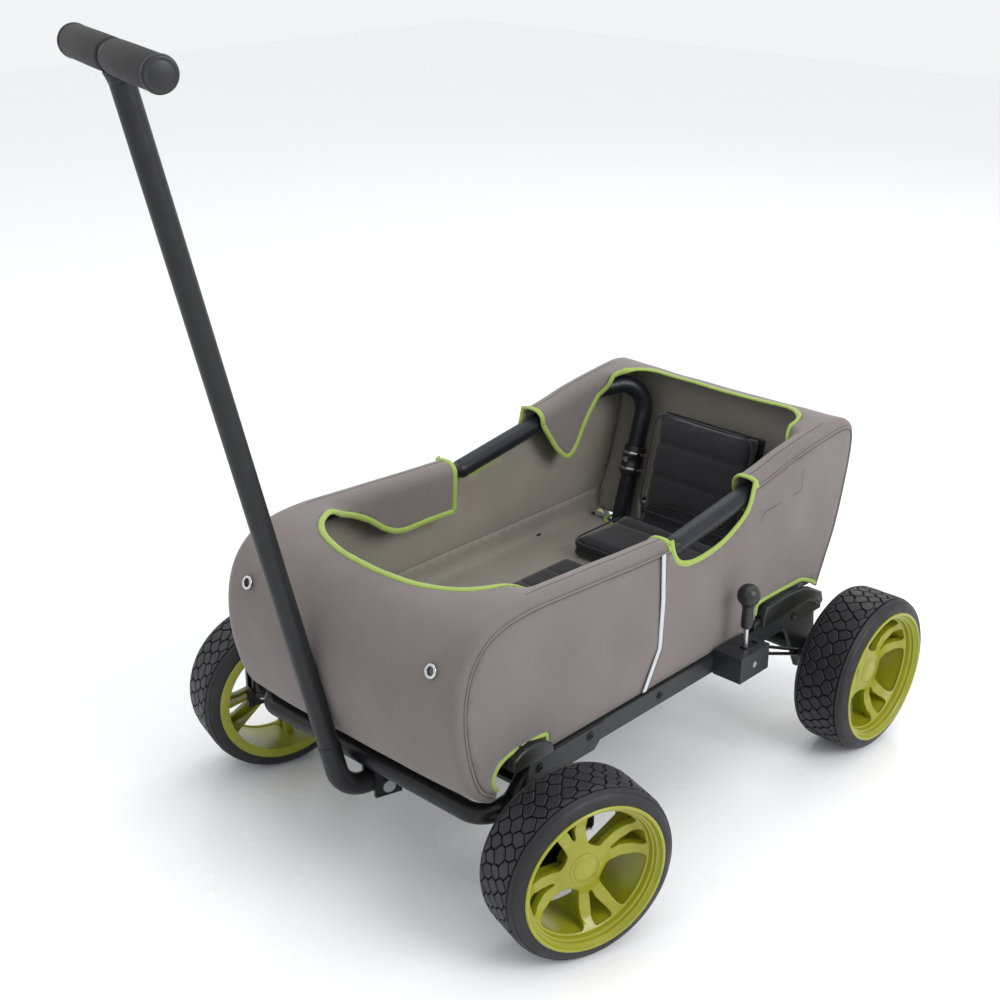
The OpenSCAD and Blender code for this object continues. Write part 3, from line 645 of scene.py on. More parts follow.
FRONT_EDGE = mm((-345, 156), (-372, 178), (-389, 222), (-397, 272), (-393, 318), (-376, 352), (-344, 374),
                (-290, 382), (-200, 378), (-110, 373), (-44, 370))
REAR_EDGE = mm((292, 194), (308, 230), (326, 272), (340, 326), (349, 378), (345, 410), (318, 424), (262, 420),
               (200, 412), (150, 402), (122, 398))
CUTOUT = mm((-44, 370), (-37, 350), (-22, 335), (10, 329), (55, 334), (92, 349), (112, 366), (122, 398))


class Wrap:
    """The front or rear cloth: it runs up the end wall, over the deck, and along both side tubes.

    A flat point (s, w) is s along the profile and w across it. Past FLAT_X the cloth rolls down to the
    side seam, and inside FOLD_X it folds down over the tube as a flap where the fold is open.
    """

    def __init__(self, profile, end, fold_from, fold_to):
        self.path = resample(catmull(profile, 10), 0.002)
        self.end = end
        self.fold_from, self.fold_to = fold_from, fold_to
        t = np.gradient(self.path, axis=0)
        t /= np.linalg.norm(t, axis=1)[:, None]
        self.normal = np.c_[-t[:, 1], t[:, 0]] if end < 0 else np.c_[t[:, 1], -t[:, 0]]
        self.s = np.r_[0, np.cumsum(np.linalg.norm(np.diff(self.path, axis=0), axis=1))]

    def s_at(self, y):
        """Distance along the profile where the deck passes y."""
        start = int(np.argmax(self.path[:, 1]) if self.end > 0 else np.argmin(self.path[:, 0]))
        ys, ss = self.path[start:, 0], self.s[start:]
        return float(np.interp(y, ys, ss) if self.end < 0 else np.interp(-y, -ys, ss))

    def at(self, s):
        index = np.interp(s, self.s, np.arange(len(self.s)))
        i = int(min(index, len(self.s) - 2))
        f = index - i
        n = self.normal[i] * (1 - f) + self.normal[i + 1] * f
        return self.path[i] * (1 - f) + self.path[i + 1] * f, n / np.linalg.norm(n)

    def fold(self, y):
        t = min(1.0, max(0.0, (y - self.fold_from) / (self.fold_to - self.fold_from)))
        return t * t * (3 - 2 * t)

    def place(self, s, w, lift=0.0):
        (y, z), n = self.at(s)
        a, side = abs(w), 1 if w >= 0 else -1
        on_deck = min(1.0, max(0.0, n[1]))
        fold = self.fold(y) if on_deck > 0.8 else 0.0
        x, down, out_x, up = a, 0.0, 0.0, 1.0
        if a > FLAT_X:
            turn = min((a - FLAT_X) / ROLL, math.pi / 2)
            rest = a - FLAT_X - ROLL * turn
            x, down = FLAT_X + ROLL * math.sin(turn), ROLL * (1 - math.cos(turn)) + rest
            out_x, up = math.sin(turn), math.cos(turn)
        elif a < FOLD_X and fold > 0.001:
            turn = min((FOLD_X - a) / FOLD, fold * math.pi / 2)
            rest = FOLD_X - a - FOLD * turn
            x = FOLD_X - FOLD * math.sin(turn) - rest * math.cos(turn)
            down = FOLD * (1 - math.cos(turn)) + rest * math.sin(turn)
            out_x, up = -math.sin(turn), math.cos(turn)
        sag = self.sag(y, z, w, on_deck, fold)
        shift = lift * up + sag - down
        return (side * (x + lift * out_x), y + n[0] * shift, z + n[1] * shift)

    def sag(self, y, z, w, on_deck, fold):
        """Pulls, dimples and broad creases of cloth stretched between its seams."""
        if abs(w) > FLAT_X:
            return 0.0
        across = math.cos(min(1.0, abs(w) / FLAT_X) * math.pi / 2)
        bow = 0.0035 * across * (1 - on_deck) - 0.004 * across * on_deck * (1 - fold)
        p = Vector((w * 9, y * 9, z * 9))
        crease = noise.noise(p) * 0.0022 + noise.noise(p * 2.3) * 0.0010
        pull = abs(w) * 12 - z * 22
        crease += 0.0011 * math.sin(pull * 2.2) * (1 - on_deck) * min(1.0, abs(w) / 0.08)
        return bow + crease * min(1.0, (FLAT_X - abs(w)) / 0.03)


def mirrored(half):
    """A closed outline from its w >= 0 half, given from the middle of one end to the other."""
    half = np.array(half, float)
    other = half[::-1] * [1, -1]
    return np.vstack([half, other])


front_wrap = Wrap(FRONT_EDGE, -1, -0.278, -0.208)
rear_wrap = Wrap(REAR_EDGE, 1, 0.262, 0.236)


def wrap_outline(wrap, opening):
    """Flat outline of a wrap: straight seams, and the opening's edge with its flap."""
    last = wrap.s[-1]
    edge = catmull([(wrap.s_at(y), w) for y, w in opening], 6)
    return mirrored([(0.0, 0.0), (0.0, SEAM_W), (last, SEAM_W), *edge[::-1]]), edge


def drop(d):
    """Flat coordinate of a point on a flap d below the profile."""
    return FOLD_X - (d + FOLD * (math.pi / 2 - 1))


FRONT_OPENING = [(-0.335, 0.0), (-0.331, 0.060), (-0.312, 0.112), (-0.276, 0.140), (-0.236, drop(0.020)),
                 (-0.198, drop(0.036)), (-0.166, drop(0.058)), (-0.138, drop(0.068)), (-0.092, drop(0.066)),
                 (-0.045, drop(0.066))]
REAR_OPENING = [(0.333, 0.0), (0.331, 0.060), (0.318, 0.112), (0.290, 0.140), (0.254, 0.146),
                (0.224, drop(0.038)), (0.200, drop(0.060)), (0.178, drop(0.082)), (0.160, drop(0.088)),
                (0.147, drop(0.070)), (0.135, drop(0.044)), (0.123, drop(0.020))]


def upwards_out(c):
    """Outward side of the tub's cloth at c."""
    if c.z > 0.36:
        return (0, 0, 1)
    return (0, -1, 0) if c.y < 0 else (0, 1, 0)


def make_wrap(name, wrap, opening):
    outline, edge = wrap_outline(wrap, opening)
    obj = cut_sheet(name, outline, wrap.place, TAUPE, step=0.0075, edge_step=0.004)
    face_towards(obj, upwards_out)
    area = sum(p.area for p in obj.data.polygons)
    return lined(obj, CLOTH, LINING), edge, area


def on_wrap(wrap, flat_path, lift=0.0):
    return np.array([wrap.place(s, w, lift) for s, w in flat_path])


def side_outline():
    """Outline of a side panel (y, z): seams under both wraps, the cut-out, and the corner slots."""
    def seam(wrap):
        return np.array([wrap.at(s)[0] - wrap.at(s)[1] * ROLL for s in np.linspace(0, wrap.s[-1], 60)])
    slot_front = catmull(mm((-337, 172), (-344, 184), (-337, 200), (-321, 208), (-300, 210), (-262, 209),
                            (-257, 200), (-256, 189)), 5)
    slot_rear = catmull(mm((142, 189), (144, 216), (158, 222), (226, 221), (245, 220), (267, 211), (284, 200)), 5)
    return np.vstack([seam(front_wrap), catmull(CUTOUT, 6)[1:-1], seam(rear_wrap)[::-1],
                      slot_rear[::-1], slot_front[::-1]]), slot_front, slot_rear


def make_side(side):
    outline, *_ = side_outline()
    name = "left" if side > 0 else "right"

    def place(y, z):
        p = Vector((y * 8, z * 8, side * 3.1))
        far = min(1.0, float(edge_distance(np.array([[y, z]]), outline)[0]) / 0.05)
        wave = noise.noise(p) * 0.0026 + noise.noise(p * 2.4) * 0.0010
        pull = 0.0012 * math.sin((y * 60 + z * 26)) * math.exp(-((z - 0.30) / 0.06) ** 2)
        return (side * (WALL_X + far * (wave + pull + 0.0012)), y, z)
    obj = cut_sheet(f"side_cloth_{name}", outline, place, TAUPE, step=0.010, edge_step=0.005)
    face_towards(obj, lambda c: (side, 0, 0))
    area = sum(p.area for p in obj.data.polygons)
    return lined(obj, CLOTH, LINING), area


def binding(name, path, normals, width=0.0078, thick=0.0021, closed=False):
    """Folded lime binding along a cloth edge: a soft flat band, lying on the cloth."""
    path = resample(path, 0.0028, closed)
    picks = np.linspace(0, len(normals) - 1, len(path))
    ups = np.array([normals[int(round(k))] for k in picks], float)
    ruffle = [1 + 0.10 * noise.noise(Vector((k * 0.23, 1.7, 0))) for k in range(len(path))]
    radii = [(width / 2 * r, thick) for r in ruffle]
    return tube_mesh(name, path, radii, PIPING, sides=14, closed=closed, up=ups)


def stitches(name, path, material=STITCH, pitch=0.0034, length=0.0022, radius=0.00033):
    """A row of single thread stitches along a path."""
    path = resample(path, pitch)
    parts, verts, faces = [], [], []
    for k in range(len(path) - 1):
        a, d = path[k], path[k + 1] - path[k]
        d = d / np.linalg.norm(d)
        b = a + d * length
        x = np.cross(d, (0.3, 0.5, 0.8))
        x /= np.linalg.norm(x)
        y = np.cross(d, x)
        first = len(verts)
        for p in (a, b):
            verts += [p + radius * (x * math.cos(q) + y * math.sin(q)) for q in (0, 1.57, 3.14, 4.71)]
        faces += [(first + j, first + (j + 1) % 4, first + 4 + (j + 1) % 4, first + 4 + j) for j in range(4)]
    return new_object(name, verts, faces, material)


front_cloth, front_edge_line, front_area = make_wrap("front_cloth", front_wrap, FRONT_OPENING)
rear_cloth, rear_edge_line, rear_area = make_wrap("rear_cloth", rear_wrap, REAR_OPENING)
side_cloths = {side: make_side(side) for side in (1, -1)}


def wrap_normals(wrap, flat_path):
    return np.array([np.subtract(wrap.place(s, w, 0.01), wrap.place(s, w)) for s, w in flat_path])


bindings = []
for label, wrap, line in (("front", front_wrap, front_edge_line), ("rear", rear_wrap, rear_edge_line)):
    # round the deck opening and both flaps, in one run
    edge = np.vstack([line[::-1], (line * [1, -1])[1:]])
    bindings.append(binding(f"opening_binding_{label}", on_wrap(wrap, edge, 0.0), wrap_normals(wrap, edge)))
    for side in (1, -1):
        # over the tube, from the flap's corner to the side seam
        across = np.array([(wrap.s[-1] - 0.001, side * w) for w in np.linspace(line[-1][1], SEAM_W, 24)])
        bindings.append(binding(f"end_binding_{label}_{side}", on_wrap(wrap, across, 0.0),
                                wrap_normals(wrap, across)))
_, SLOT_FRONT, SLOT_REAR = side_outline()
for side in (1, -1):
    for label, line in (("cutout", catmull(CUTOUT, 8)), ("slot_front", SLOT_FRONT[:-4]), ("slot_rear", SLOT_REAR[3:])):
        path = np.c_[np.full(len(line), side * (WALL_X - 0.0008)), line]
        bindings.append(binding(f"{label}_binding_{side}", path, [(side, 0, 0)] * len(path),
                                width=0.0078 if label == "cutout" else 0.0062))
piping = join("lime_piping", bindings)

threads = []
for label, wrap in (("front", front_wrap), ("rear", rear_wrap)):
    for side in (1, -1):
        along_seam = [(s, side * (SEAM_W + 0.0022)) for s in np.linspace(0.004, wrap.s[-1] - 0.004, 160)]
        threads.append(stitches("seam", on_wrap(wrap, along_seam, 0.0006)))
        inner_row = [(s, side * (FLAT_X - 0.004)) for s in np.linspace(wrap.s_at(-0.28 if wrap.end < 0 else 0.29),
                                                                       wrap.s[-1] - 0.004, 120)]
        threads.append(stitches("row", on_wrap(wrap, inner_row, 0.0004)))
for side in (1, -1):
    # hem of the tunnel over the rear tube, and the joint between the side cloth's two halves
    for path in (mm((222, 384), (224, 355), (142, 350), (133, 338)), mm((-56, 360), (-56, 235), (-82, 192))):
        line = resample(path, 0.004)
        threads.append(stitches("hem", np.c_[np.full(len(line), side * (WALL_X + 0.0030)), line]))
seam_threads = join("seam_threads", threads)


def seam_roll(wrap, side):
    """The seam allowance under the cloth shows as a low ridge along the side seam."""
    path = np.array([wrap.place(s, side * SEAM_W, 0.0001) for s in np.linspace(0.002, wrap.s[-1] - 0.002, 200)])
    return tube_mesh("ridge", path, [(0.0014, 0.0010)] * len(path), TAUPE, sides=8, up=(side, 0, 0))


ridges = join("seam_ridges", [seam_roll(w, s) for w in (front_wrap, rear_wrap) for s in (1, -1)])


def strip(side):
    """Woven reflective tape down the side, over the joint of the side cloth."""
    line = resample(mm((-63, 362), (-60, 300), (-62, 240), (-88, 192)), 0.004)
    verts, half = [], 0.0034
    for k, (y, z) in enumerate(line):
        for d, out in ((-half, 0.0024), (-half * 0.9, 0.0034), (half * 0.9, 0.0034), (half, 0.0024)):
            verts.append((side * (WALL_X + out + 0.0008), y + d, z))
    return new_object("tape", verts, grid_faces(len(line), 4), TAPE)


tapes = {side: strip(side) for side in (1, -1)}


def inner_flap_patch(side):
    """Stitched patch on the rear flap."""
    line = [(s, side * w) for s, w in ((rear_wrap.s_at(0.205), drop(0.070)), (rear_wrap.s_at(0.206), drop(0.040)),
                                       (rear_wrap.s_at(0.150), drop(0.034)), (rear_wrap.s_at(0.150), drop(0.060)))]
    return stitches("patch", on_wrap(rear_wrap, resample(line, 0.003), -0.0004))


eyelets = []
for side in (1, -1):
    # pressed eyelet: a rolled ring with a sleeve
    centre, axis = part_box("grommets"), Vector((0, -0.927, 0.375))
    ring = lathe("eyelet", [(0.0047, -0.004), (0.0048, 0.0010), (0.0056, 0.0022), (0.0068, 0.0024),
                            (0.0080, 0.0014), (0.0084, 0.0004), (0.0080, 0.0), (0.0052, -0.0002), (0.0052, -0.004)],
                 CHROME, sides=48)
    ring.matrix_world = Matrix.Translation((side * 0.150, -0.3938, 0.3262)) @ axis.to_track_quat("Z", "Y").to_matrix().to_4x4()
    eyelets.append(ring)
eyelet_rings = join("eyelet_rings", eyelets)
patches = join("flap_stitches", [inner_flap_patch(s) for s in (1, -1)])

PROFILE_FRONT, PROFILE_REAR = float(front_wrap.s[-1]), float(rear_wrap.s[-1])
SIDE_BOX = (0.755, 0.250)
for obj, nodes, flat, area in (
        (front_cloth, ["front_panel"], (2 * SEAM_W, PROFILE_FRONT), front_area),
        (rear_cloth, ["rear_panel"], (2 * SEAM_W, PROFILE_REAR), rear_area),
        (side_cloths[1][0], ["side_panel_left"], SIDE_BOX, side_cloths[1][1]),
        (side_cloths[-1][0], ["side_panel_right"], SIDE_BOX, side_cloths[-1][1])):
    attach(obj, "chassis")
    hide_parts(*nodes)
for obj, nodes, finish in ((piping, ["piping"], "piping_fabric"), (seam_threads, [], "tub_fabric"),
                           (ridges, [], "tub_fabric"), (patches, [], "tub_fabric"),
                           (eyelet_rings, ["grommets"], "eyelet_metal"),
                           (tapes[1], ["reflective_strips"], "reflective_tape"), (tapes[-1], [], "reflective_tape")):
    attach(obj, "chassis")
    if nodes:
        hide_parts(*nodes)
tapes[1].name, tapes[-1].name = "tape_left", "tape_right"


# ---------- padded pieces ----------
HINGE_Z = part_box("backrest_hinge_pin")[1].z - 0.006
SEAT_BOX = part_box("seat_cushion")
MAT_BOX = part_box("floor_mat")
BACK_PLACE = Matrix.Translation((0, HINGE_Y, HINGE_Z)) @ Matrix.Rotation(-BACK_LEAN, 4, "X")


def block(name, low, high, pull=0.0):
    """A box whose sides pull in between its corners, as the cut of a cushion."""
    bm = bmesh.new()
    bmesh.ops.create_cube(bm, size=1.0)
    bmesh.ops.subdivide_edges(bm, edges=bm.edges[:], cuts=9, use_grid_fill=True)
    size = [h - l for l, h in zip(low, high)]
    for v in bm.verts:
        p = [v.co[k] * 2 for k in range(3)]
        p[0], p[1] = p[0] * (1 - pull * (1 - p[1] ** 2)), p[1] * (1 - pull * (1 - p[0] ** 2))
        v.co = [low[k] + size[k] * (p[k] + 1) / 2 for k in range(3)]
    mesh = bpy.data.meshes.new(name)
    bm.to_mesh(mesh)
    bm.free()
    obj = bpy.data.objects.new(name, mesh)
    bpy.context.scene.collection.objects.link(obj)
    mesh.materials.append(PAD)
    return obj


def inflate(obj, voxel=0.005, pressure=4.0, cap=0.006):
    """Swells a cut shape with Cloth pressure, with each point held to a short way, and applies it."""
    remesh = obj.modifiers.new("remesh", "REMESH")
    remesh.mode, remesh.voxel_size = "VOXEL", voxel
    apply_modifiers(obj)
    rest = np.array([v.co for v in obj.data.vertices])
    cloth = obj.modifiers.new("cloth", "CLOTH")
    cloth.settings.use_pressure = True
    cloth.settings.uniform_pressure_force = pressure
    cloth.settings.effector_weights.gravity = 0
    scene = bpy.context.scene
    for frame_number in range(1, 21):
        scene.frame_set(frame_number)
    apply_modifiers(obj)
    scene.frame_set(1)
    co = np.array([v.co for v in obj.data.vertices])
    move = co - rest
    far = np.linalg.norm(move, axis=1)
    co = rest + move * (np.minimum(far, cap) / np.maximum(far, 1e-9))[:, None]
    obj.data.vertices.foreach_set("co", co.astype(np.float32).ravel())
    smooth = obj.modifiers.new("smooth", "LAPLACIANSMOOTH")
    smooth.iterations, smooth.lambda_factor = 2, 0.4
    sub = obj.modifiers.new("sub", "SUBSURF")
    sub.levels = sub.render_levels = 1
    apply_modifiers(obj)
    for p in obj.data.polygons:
        p.use_smooth = True
    return obj


def sculpt(obj, move):
    """Moves each vertex by move(position, normal)."""
    normals = [v.normal.copy() for v in obj.data.vertices]
    for v, n in zip(obj.data.vertices, normals):
        v.co += Vector(move(v.co, n))
    obj.data.update()
    return obj


def channels(lines, axis, depth, width):
    """Sewn channels across a pad: a narrow valley at each line, with soft puckers beside it."""
    def move(p, n):
        amount = 0.0
        for line in lines:
            d = (p[axis] - line) / width
            pucker = 1 + 0.35 * noise.noise(Vector((p.x * 60, line * 40, 0)))
            amount += math.exp(-abs(d) ** 1.4) * pucker
        return -n * depth * min(amount, 1.2) + n * 0.0006 * noise.noise(p * 28)
    return move


def cord_seam(name, path, radius=0.0014):
    """Round sewn edge of a pad."""
    path = resample(np.array(path), 0.004, closed=True)
    return tube_mesh(name, path, radius, PAD, sides=8, closed=True)


def rounded_loop(x, y0, y1, z, corner=0.018, steps=6):
    pts = []
    for cx, cy, start in ((x - corner, y1 - corner, 0), (corner - x, y1 - corner, 90),
                          (corner - x, y0 + corner, 180), (x - corner, y0 + corner, 270)):
        for k in range(steps + 1):
            a = math.radians(start + 90 * k / steps)
            pts.append((cx + corner * math.cos(a), cy + corner * math.sin(a), z))
    return pts


half = SEAT_W / 2
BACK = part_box("backrest_board")
BACK_TOP = 0.006 + (BACK[1].z - HINGE_Z) / math.cos(BACK_LEAN)
BACK_LOW = -0.012
back_half = BACK[1].x + 0.006
back_low, back_high = (-back_half + 0.004, -0.0185, BACK_LOW + 0.005), (back_half - 0.004, -0.0035, BACK_TOP - 0.004)
back_pad = inflate(block("backrest_pad", back_low, back_high, 0.012), cap=0.0055)
BACK_LINES = [BACK_TOP - 0.047 * k for k in (0.92, 1.92, 2.85)]
sculpt(back_pad, channels(BACK_LINES, 2, 0.0036, 0.0042))
back_seams = [stitches("channel", [(x, -0.0225, z) for x in np.linspace(-back_half + 0.012, back_half - 0.012, 40)],
                       PAD, pitch=0.0036, radius=0.0004) for z in BACK_LINES]
loop = [(p[0], -0.0215, p[1]) for p in rounded_loop(back_half - 0.006, BACK_LOW + 0.006, BACK_TOP - 0.005, 0)]
back_trim = join("backrest_trim", [cord_seam("edge", loop), *back_seams])
for obj in (back_pad, back_trim):
    obj.matrix_world = BACK_PLACE
    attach(obj, "backrest")
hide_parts("backrest_cushion")

lo, hi = SEAT_BOX
seat_pad = inflate(block("seat_pad", (lo.x + 0.005, lo.y + 0.005, lo.z + 0.0035), (hi.x - 0.005, hi.y - 0.004, hi.z - 0.005),
                         0.02), cap=0.0055)
sculpt(seat_pad, lambda p, n: n * (0.0008 * noise.noise(p * 22))
       - n * 0.0024 * math.exp(-abs((p.y - 0.205) / 0.004) ** 1.4) * max(0, n.z)
       - n * 0.0020 * math.exp(-abs((p.z - FLOOR_TOP - 0.016) / 0.003) ** 1.6) * (1 - abs(n.z)))
edge_loop = rounded_loop(half - 0.0045, lo.y + 0.005, hi.y - 0.004, hi.z - 0.0065, corner=0.022)
seat_trim = cord_seam("seat_trim", edge_loop)
lo, hi = MAT_BOX
mat_pad = inflate(block("mat_pad", (lo.x + 0.003, lo.y + 0.003, lo.z + 0.0012), (hi.x - 0.003, hi.y - 0.002, hi.z - 0.001)),
                  voxel=0.004, cap=0.002)
MAT_LINES = [lo.y + (hi.y - lo.y) * k / 7 for k in range(1, 7)]
sculpt(mat_pad, channels(MAT_LINES, 1, 0.0012, 0.0040))
for obj, node in ((seat_pad, "seat_cushion"), (mat_pad, "floor_mat"), (seat_trim, None)):
    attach(obj, "chassis")
    if node:
        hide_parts(node)


def hinge_cloth():
    """Strip sewn between the seat's rear edge and the backrest's lower edge."""
    low = Vector((0, SEAT_BOX[1].y - 0.006, SEAT_BOX[1].z - 0.008))
    high = BACK_PLACE @ Vector((0, -0.014, BACK_LOW + 0.016))
    reach = (high - low).length
    width = back_half - 0.014

    def place(x, t):
        sag = -0.004 * math.sin(math.pi * t / reach)
        at = low.lerp(high, t / reach)
        return (x, at.y + sag * 0.5, at.z + sag)
    obj = cut_sheet("hinge_cloth", [(-width, 0), (width, 0), (width, reach), (-width, reach)], place, PAD,
                    step=0.006)
    face_towards(obj, lambda c: (0, -1, 1))
    return obj, (2 * width, reach), low, high


strip, strip_flat, strip_low, strip_high = hinge_cloth()
m = strip.modifiers.new("thick", "SOLIDIFY")
m.thickness, m.offset = 0.001, -1
apply_modifiers(strip)
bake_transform(strip)
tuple(strip_low)
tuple(strip_high)


LINER_W = 0.216


def floor_liner():
    """Cloth over the floor board, turned up into the side walls."""
    def place(x, y):
        rise = max(0.0, abs(x) - 0.178)
        turn = min(rise / 0.008, math.pi / 2)
        flat_x = math.copysign(min(abs(x), 0.178) + 0.008 * math.sin(turn), x)
        up = 0.008 * (1 - math.cos(turn)) + max(0.0, rise - 0.008 * math.pi / 2)
        return (flat_x, y, FLOOR_TOP + 0.0007 + up + 0.0006 * (1 + noise.noise(Vector((x * 11, y * 11, 4)))))
    outline = [(-LINER_W, -0.336), (LINER_W, -0.336), (LINER_W, 0.286), (0.181, 0.286), (0.181, 0.258),
               (-0.181, 0.258), (-0.181, 0.286), (-LINER_W, 0.286)]
    obj = cut_sheet("floor_liner", outline, place, LINING, step=0.012)
    face_towards(obj, lambda c: (0, 0, 1))
    return obj


liner = floor_liner()
m = liner.modifiers.new("thick", "SOLIDIFY")
m.thickness, m.offset = 0.0006, -1
apply_modifiers(liner)
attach(liner, "chassis")

# ---------- handle ----------
COLUMN = Matrix.Translation((0, KINGPIN[1], 0)) @ Matrix.Rotation(STEER, 4, "Z")
grip_low, grip_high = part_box("grip_sleeves")
GRIP_MID = (grip_low + grip_high) / 2
ALONG = COLUMN.to_3x3() @ Vector((1, 0, 0))
BAR_PLACE = Matrix.Translation(GRIP_MID) @ ALONG.to_track_quat("Z", "Y").to_matrix().to_4x4()
GRIP_R, GRIP_HALF = 0.0166, 0.124
bar_parts = []
for end in (0, math.pi):
    flip = Matrix.Rotation(end, 4, "X")
    sleeve = lathe("sleeve", [(0.0092, 0.0052), (GRIP_R - 0.0022, 0.0052), (GRIP_R - 0.0006, 0.0062),
                              (GRIP_R, 0.0085), (GRIP_R + 0.0002, 0.05), (GRIP_R, GRIP_HALF - 0.0035),
                              (GRIP_R - 0.0010, GRIP_HALF - 0.0012), (0.0092, GRIP_HALF - 0.001)], GRIP, sides=72)
    cap = lathe("cap", [(0.0004, GRIP_HALF + 0.0046), (0.0110, GRIP_HALF + 0.0045), (0.0126, GRIP_HALF + 0.0039),
                        (0.0136, GRIP_HALF + 0.0043), (0.0156, GRIP_HALF + 0.0040), (GRIP_R + 0.0001, GRIP_HALF + 0.0026),
                        (GRIP_R + 0.0006, GRIP_HALF + 0.0008), (GRIP_R + 0.0002, GRIP_HALF - 0.0010),
                        (0.0004, GRIP_HALF - 0.0008)], PLASTIC, sides=72)
    for o in (sleeve, cap):
        o.data.set_sharp_from_angle(angle=math.radians(50))
        o.matrix_world = BAR_PLACE @ flip
        bar_parts.append(o)
sleeves = join("grip_foam", [bar_parts[0], bar_parts[2]])
caps = join("grip_end_caps", [bar_parts[1], bar_parts[3]])
ring = lathe("grip_ring", [(0.0092, -0.0054), (GRIP_R - 0.0028, -0.0054), (GRIP_R - 0.0020, -0.0040),
                           (GRIP_R - 0.0020, 0.0040), (GRIP_R - 0.0028, 0.0054), (0.0092, 0.0054)], PLASTIC, sides=72)
ring.matrix_world = BAR_PLACE
for obj, node, finish in ((sleeves, "grip_sleeves", "grip_foam"), (caps, "grip_caps", "black_plastic"),
                          (ring, "grip_collar", "black_plastic")):
    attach(obj, "pull_handle")
    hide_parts(node)

# swaged neck where the long tube enters the bent one
LEAN = math.radians(13)
neck_at = COLUMN @ Vector((0, -0.060 - 0.064 * math.sin(LEAN), 0.099 + 0.064 * math.cos(LEAN)))
neck_dir = COLUMN.to_3x3() @ Vector((0, -math.sin(LEAN), math.cos(LEAN)))
neck = lathe("handle_neck", [(0.0124, -0.003), (0.0133, -0.003), (0.01345, -0.001), (0.0134, 0.0012), (0.0129, 0.0032),
                             (0.0125, 0.0040), (0.0122, 0.0036)], TUBE, sides=64)
neck.matrix_world = Matrix.Translation(neck_at) @ neck_dir.to_track_quat("Z", "Y").to_matrix().to_4x4()
top_at = GRIP_MID - neck_dir * 0.0165
weld = lathe("handle_weld", [(0.0100, -0.006), (0.0126, -0.006), (0.0132, -0.002), (0.0142, 0.0022), (0.0150, 0.0050),
                             (0.0100, 0.0060)], TUBE, sides=48)
weld.matrix_world = Matrix.Translation(top_at) @ neck_dir.to_track_quat("Z", "Y").to_matrix().to_4x4()
handle_trim = join("handle_trim", [neck, weld])
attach(handle_trim, "pull_handle")


# ---------- upper frame ----------
def lower_along(a, b, t):
    return np.array(a) * (1 - t) + np.array(b) * t


KINK = np.array((0.175, -0.018, 0.351))
FRONT_DIR = np.array((0.175, -0.362, 0.366)) - KINK
FRONT_DIR /= np.linalg.norm(FRONT_DIR)
swages = []
for side in (1, -1):
    flip = np.array((side, 1, 1))
    stations = [(-0.0035, 0.0126), (0.0, 0.0126), (0.0006, 0.0124), (0.0035, 0.0118), (0.0065, 0.0109), (0.0085, 0.01065)]
    path = [(KINK + FRONT_DIR * t) * flip for t, _ in stations]
    swages.append(tube_mesh("swage", path, 1.0, HOOP, sides=48))
    # each ring of the tube takes its own radius
    o, n = swages[-1], 48
    for k, (t, r) in enumerate(stations):
        centre = Vector(path[k])
        for j in range(n):
            v = o.data.vertices[k * n + j]
            v.co = centre + (v.co - centre).normalized() * r
swage = join("hoop_swages", swages)
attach(swage, "chassis")


def prism(name, outline, x0, x1, material, width=0.002, segments=3):
    """Side-view outline pulled out along X, with rounded edges."""
    n = len(outline)
    verts = [(x0, y, z) for y, z in outline] + [(x1, y, z) for y, z in outline]
    faces = [tuple(range(n))[::-1], tuple(range(n, 2 * n))]
    faces += [(k, (k + 1) % n, n + (k + 1) % n, n + k) for k in range(n)]
    obj = new_object(name, verts, faces, material)
    bm = bmesh.new()
    bm.from_mesh(obj.data)
    bmesh.ops.recalc_face_normals(bm, faces=bm.faces[:])
    bm.to_mesh(obj.data)
    bm.free()
    return bevel(obj, width, segments, 25)


FRONT_TAB = mm((-320, 189), (-320, 205), (-308, 211), (-288, 213), (-268, 209), (-257, 200), (-255, 189))
REAR_TAB = mm((146, 190), (146, 206), (153, 216), (204, 218), (238, 214), (262, 204), (283, 192), (288, 178),
              (280, 174), (266, 184), (252, 190))
socket_parts = []
for side in (1, -1):
    for outline, x1 in ((FRONT_TAB, 0.2025), (REAR_TAB, 0.2035)):
        socket_parts.append(prism("tab", outline, side * 0.1895, side * x1, PLASTIC, 0.0028, 3))
        y0, y1 = min(p[0] for p in outline) + 0.016, max(p[0] for p in outline) - 0.045
        z = max(p[1] for p in outline)
        for k in range(2):
            x = side * (0.1922 + 0.0060 * k)
            rib = mm((y0 / MM, z / MM - 3), (y0 / MM, z / MM + 0.4), (y1 / MM, z / MM + 0.2), (y1 / MM, z / MM - 3))
            socket_parts.append(prism("tab_rib", rib, x, x + side * 0.0018, PLASTIC, 0.0006, 2))
    # clip plate behind the brake
    socket_parts.append(prism("clip", mm((132, 188), (132, 198), (150, 202), (150, 188)), side * 0.180, side * 0.199, PLASTIC,
                              0.0012, 2))
sockets = join("corner_sockets", socket_parts)
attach(sockets, "chassis")
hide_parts("leg_sockets")

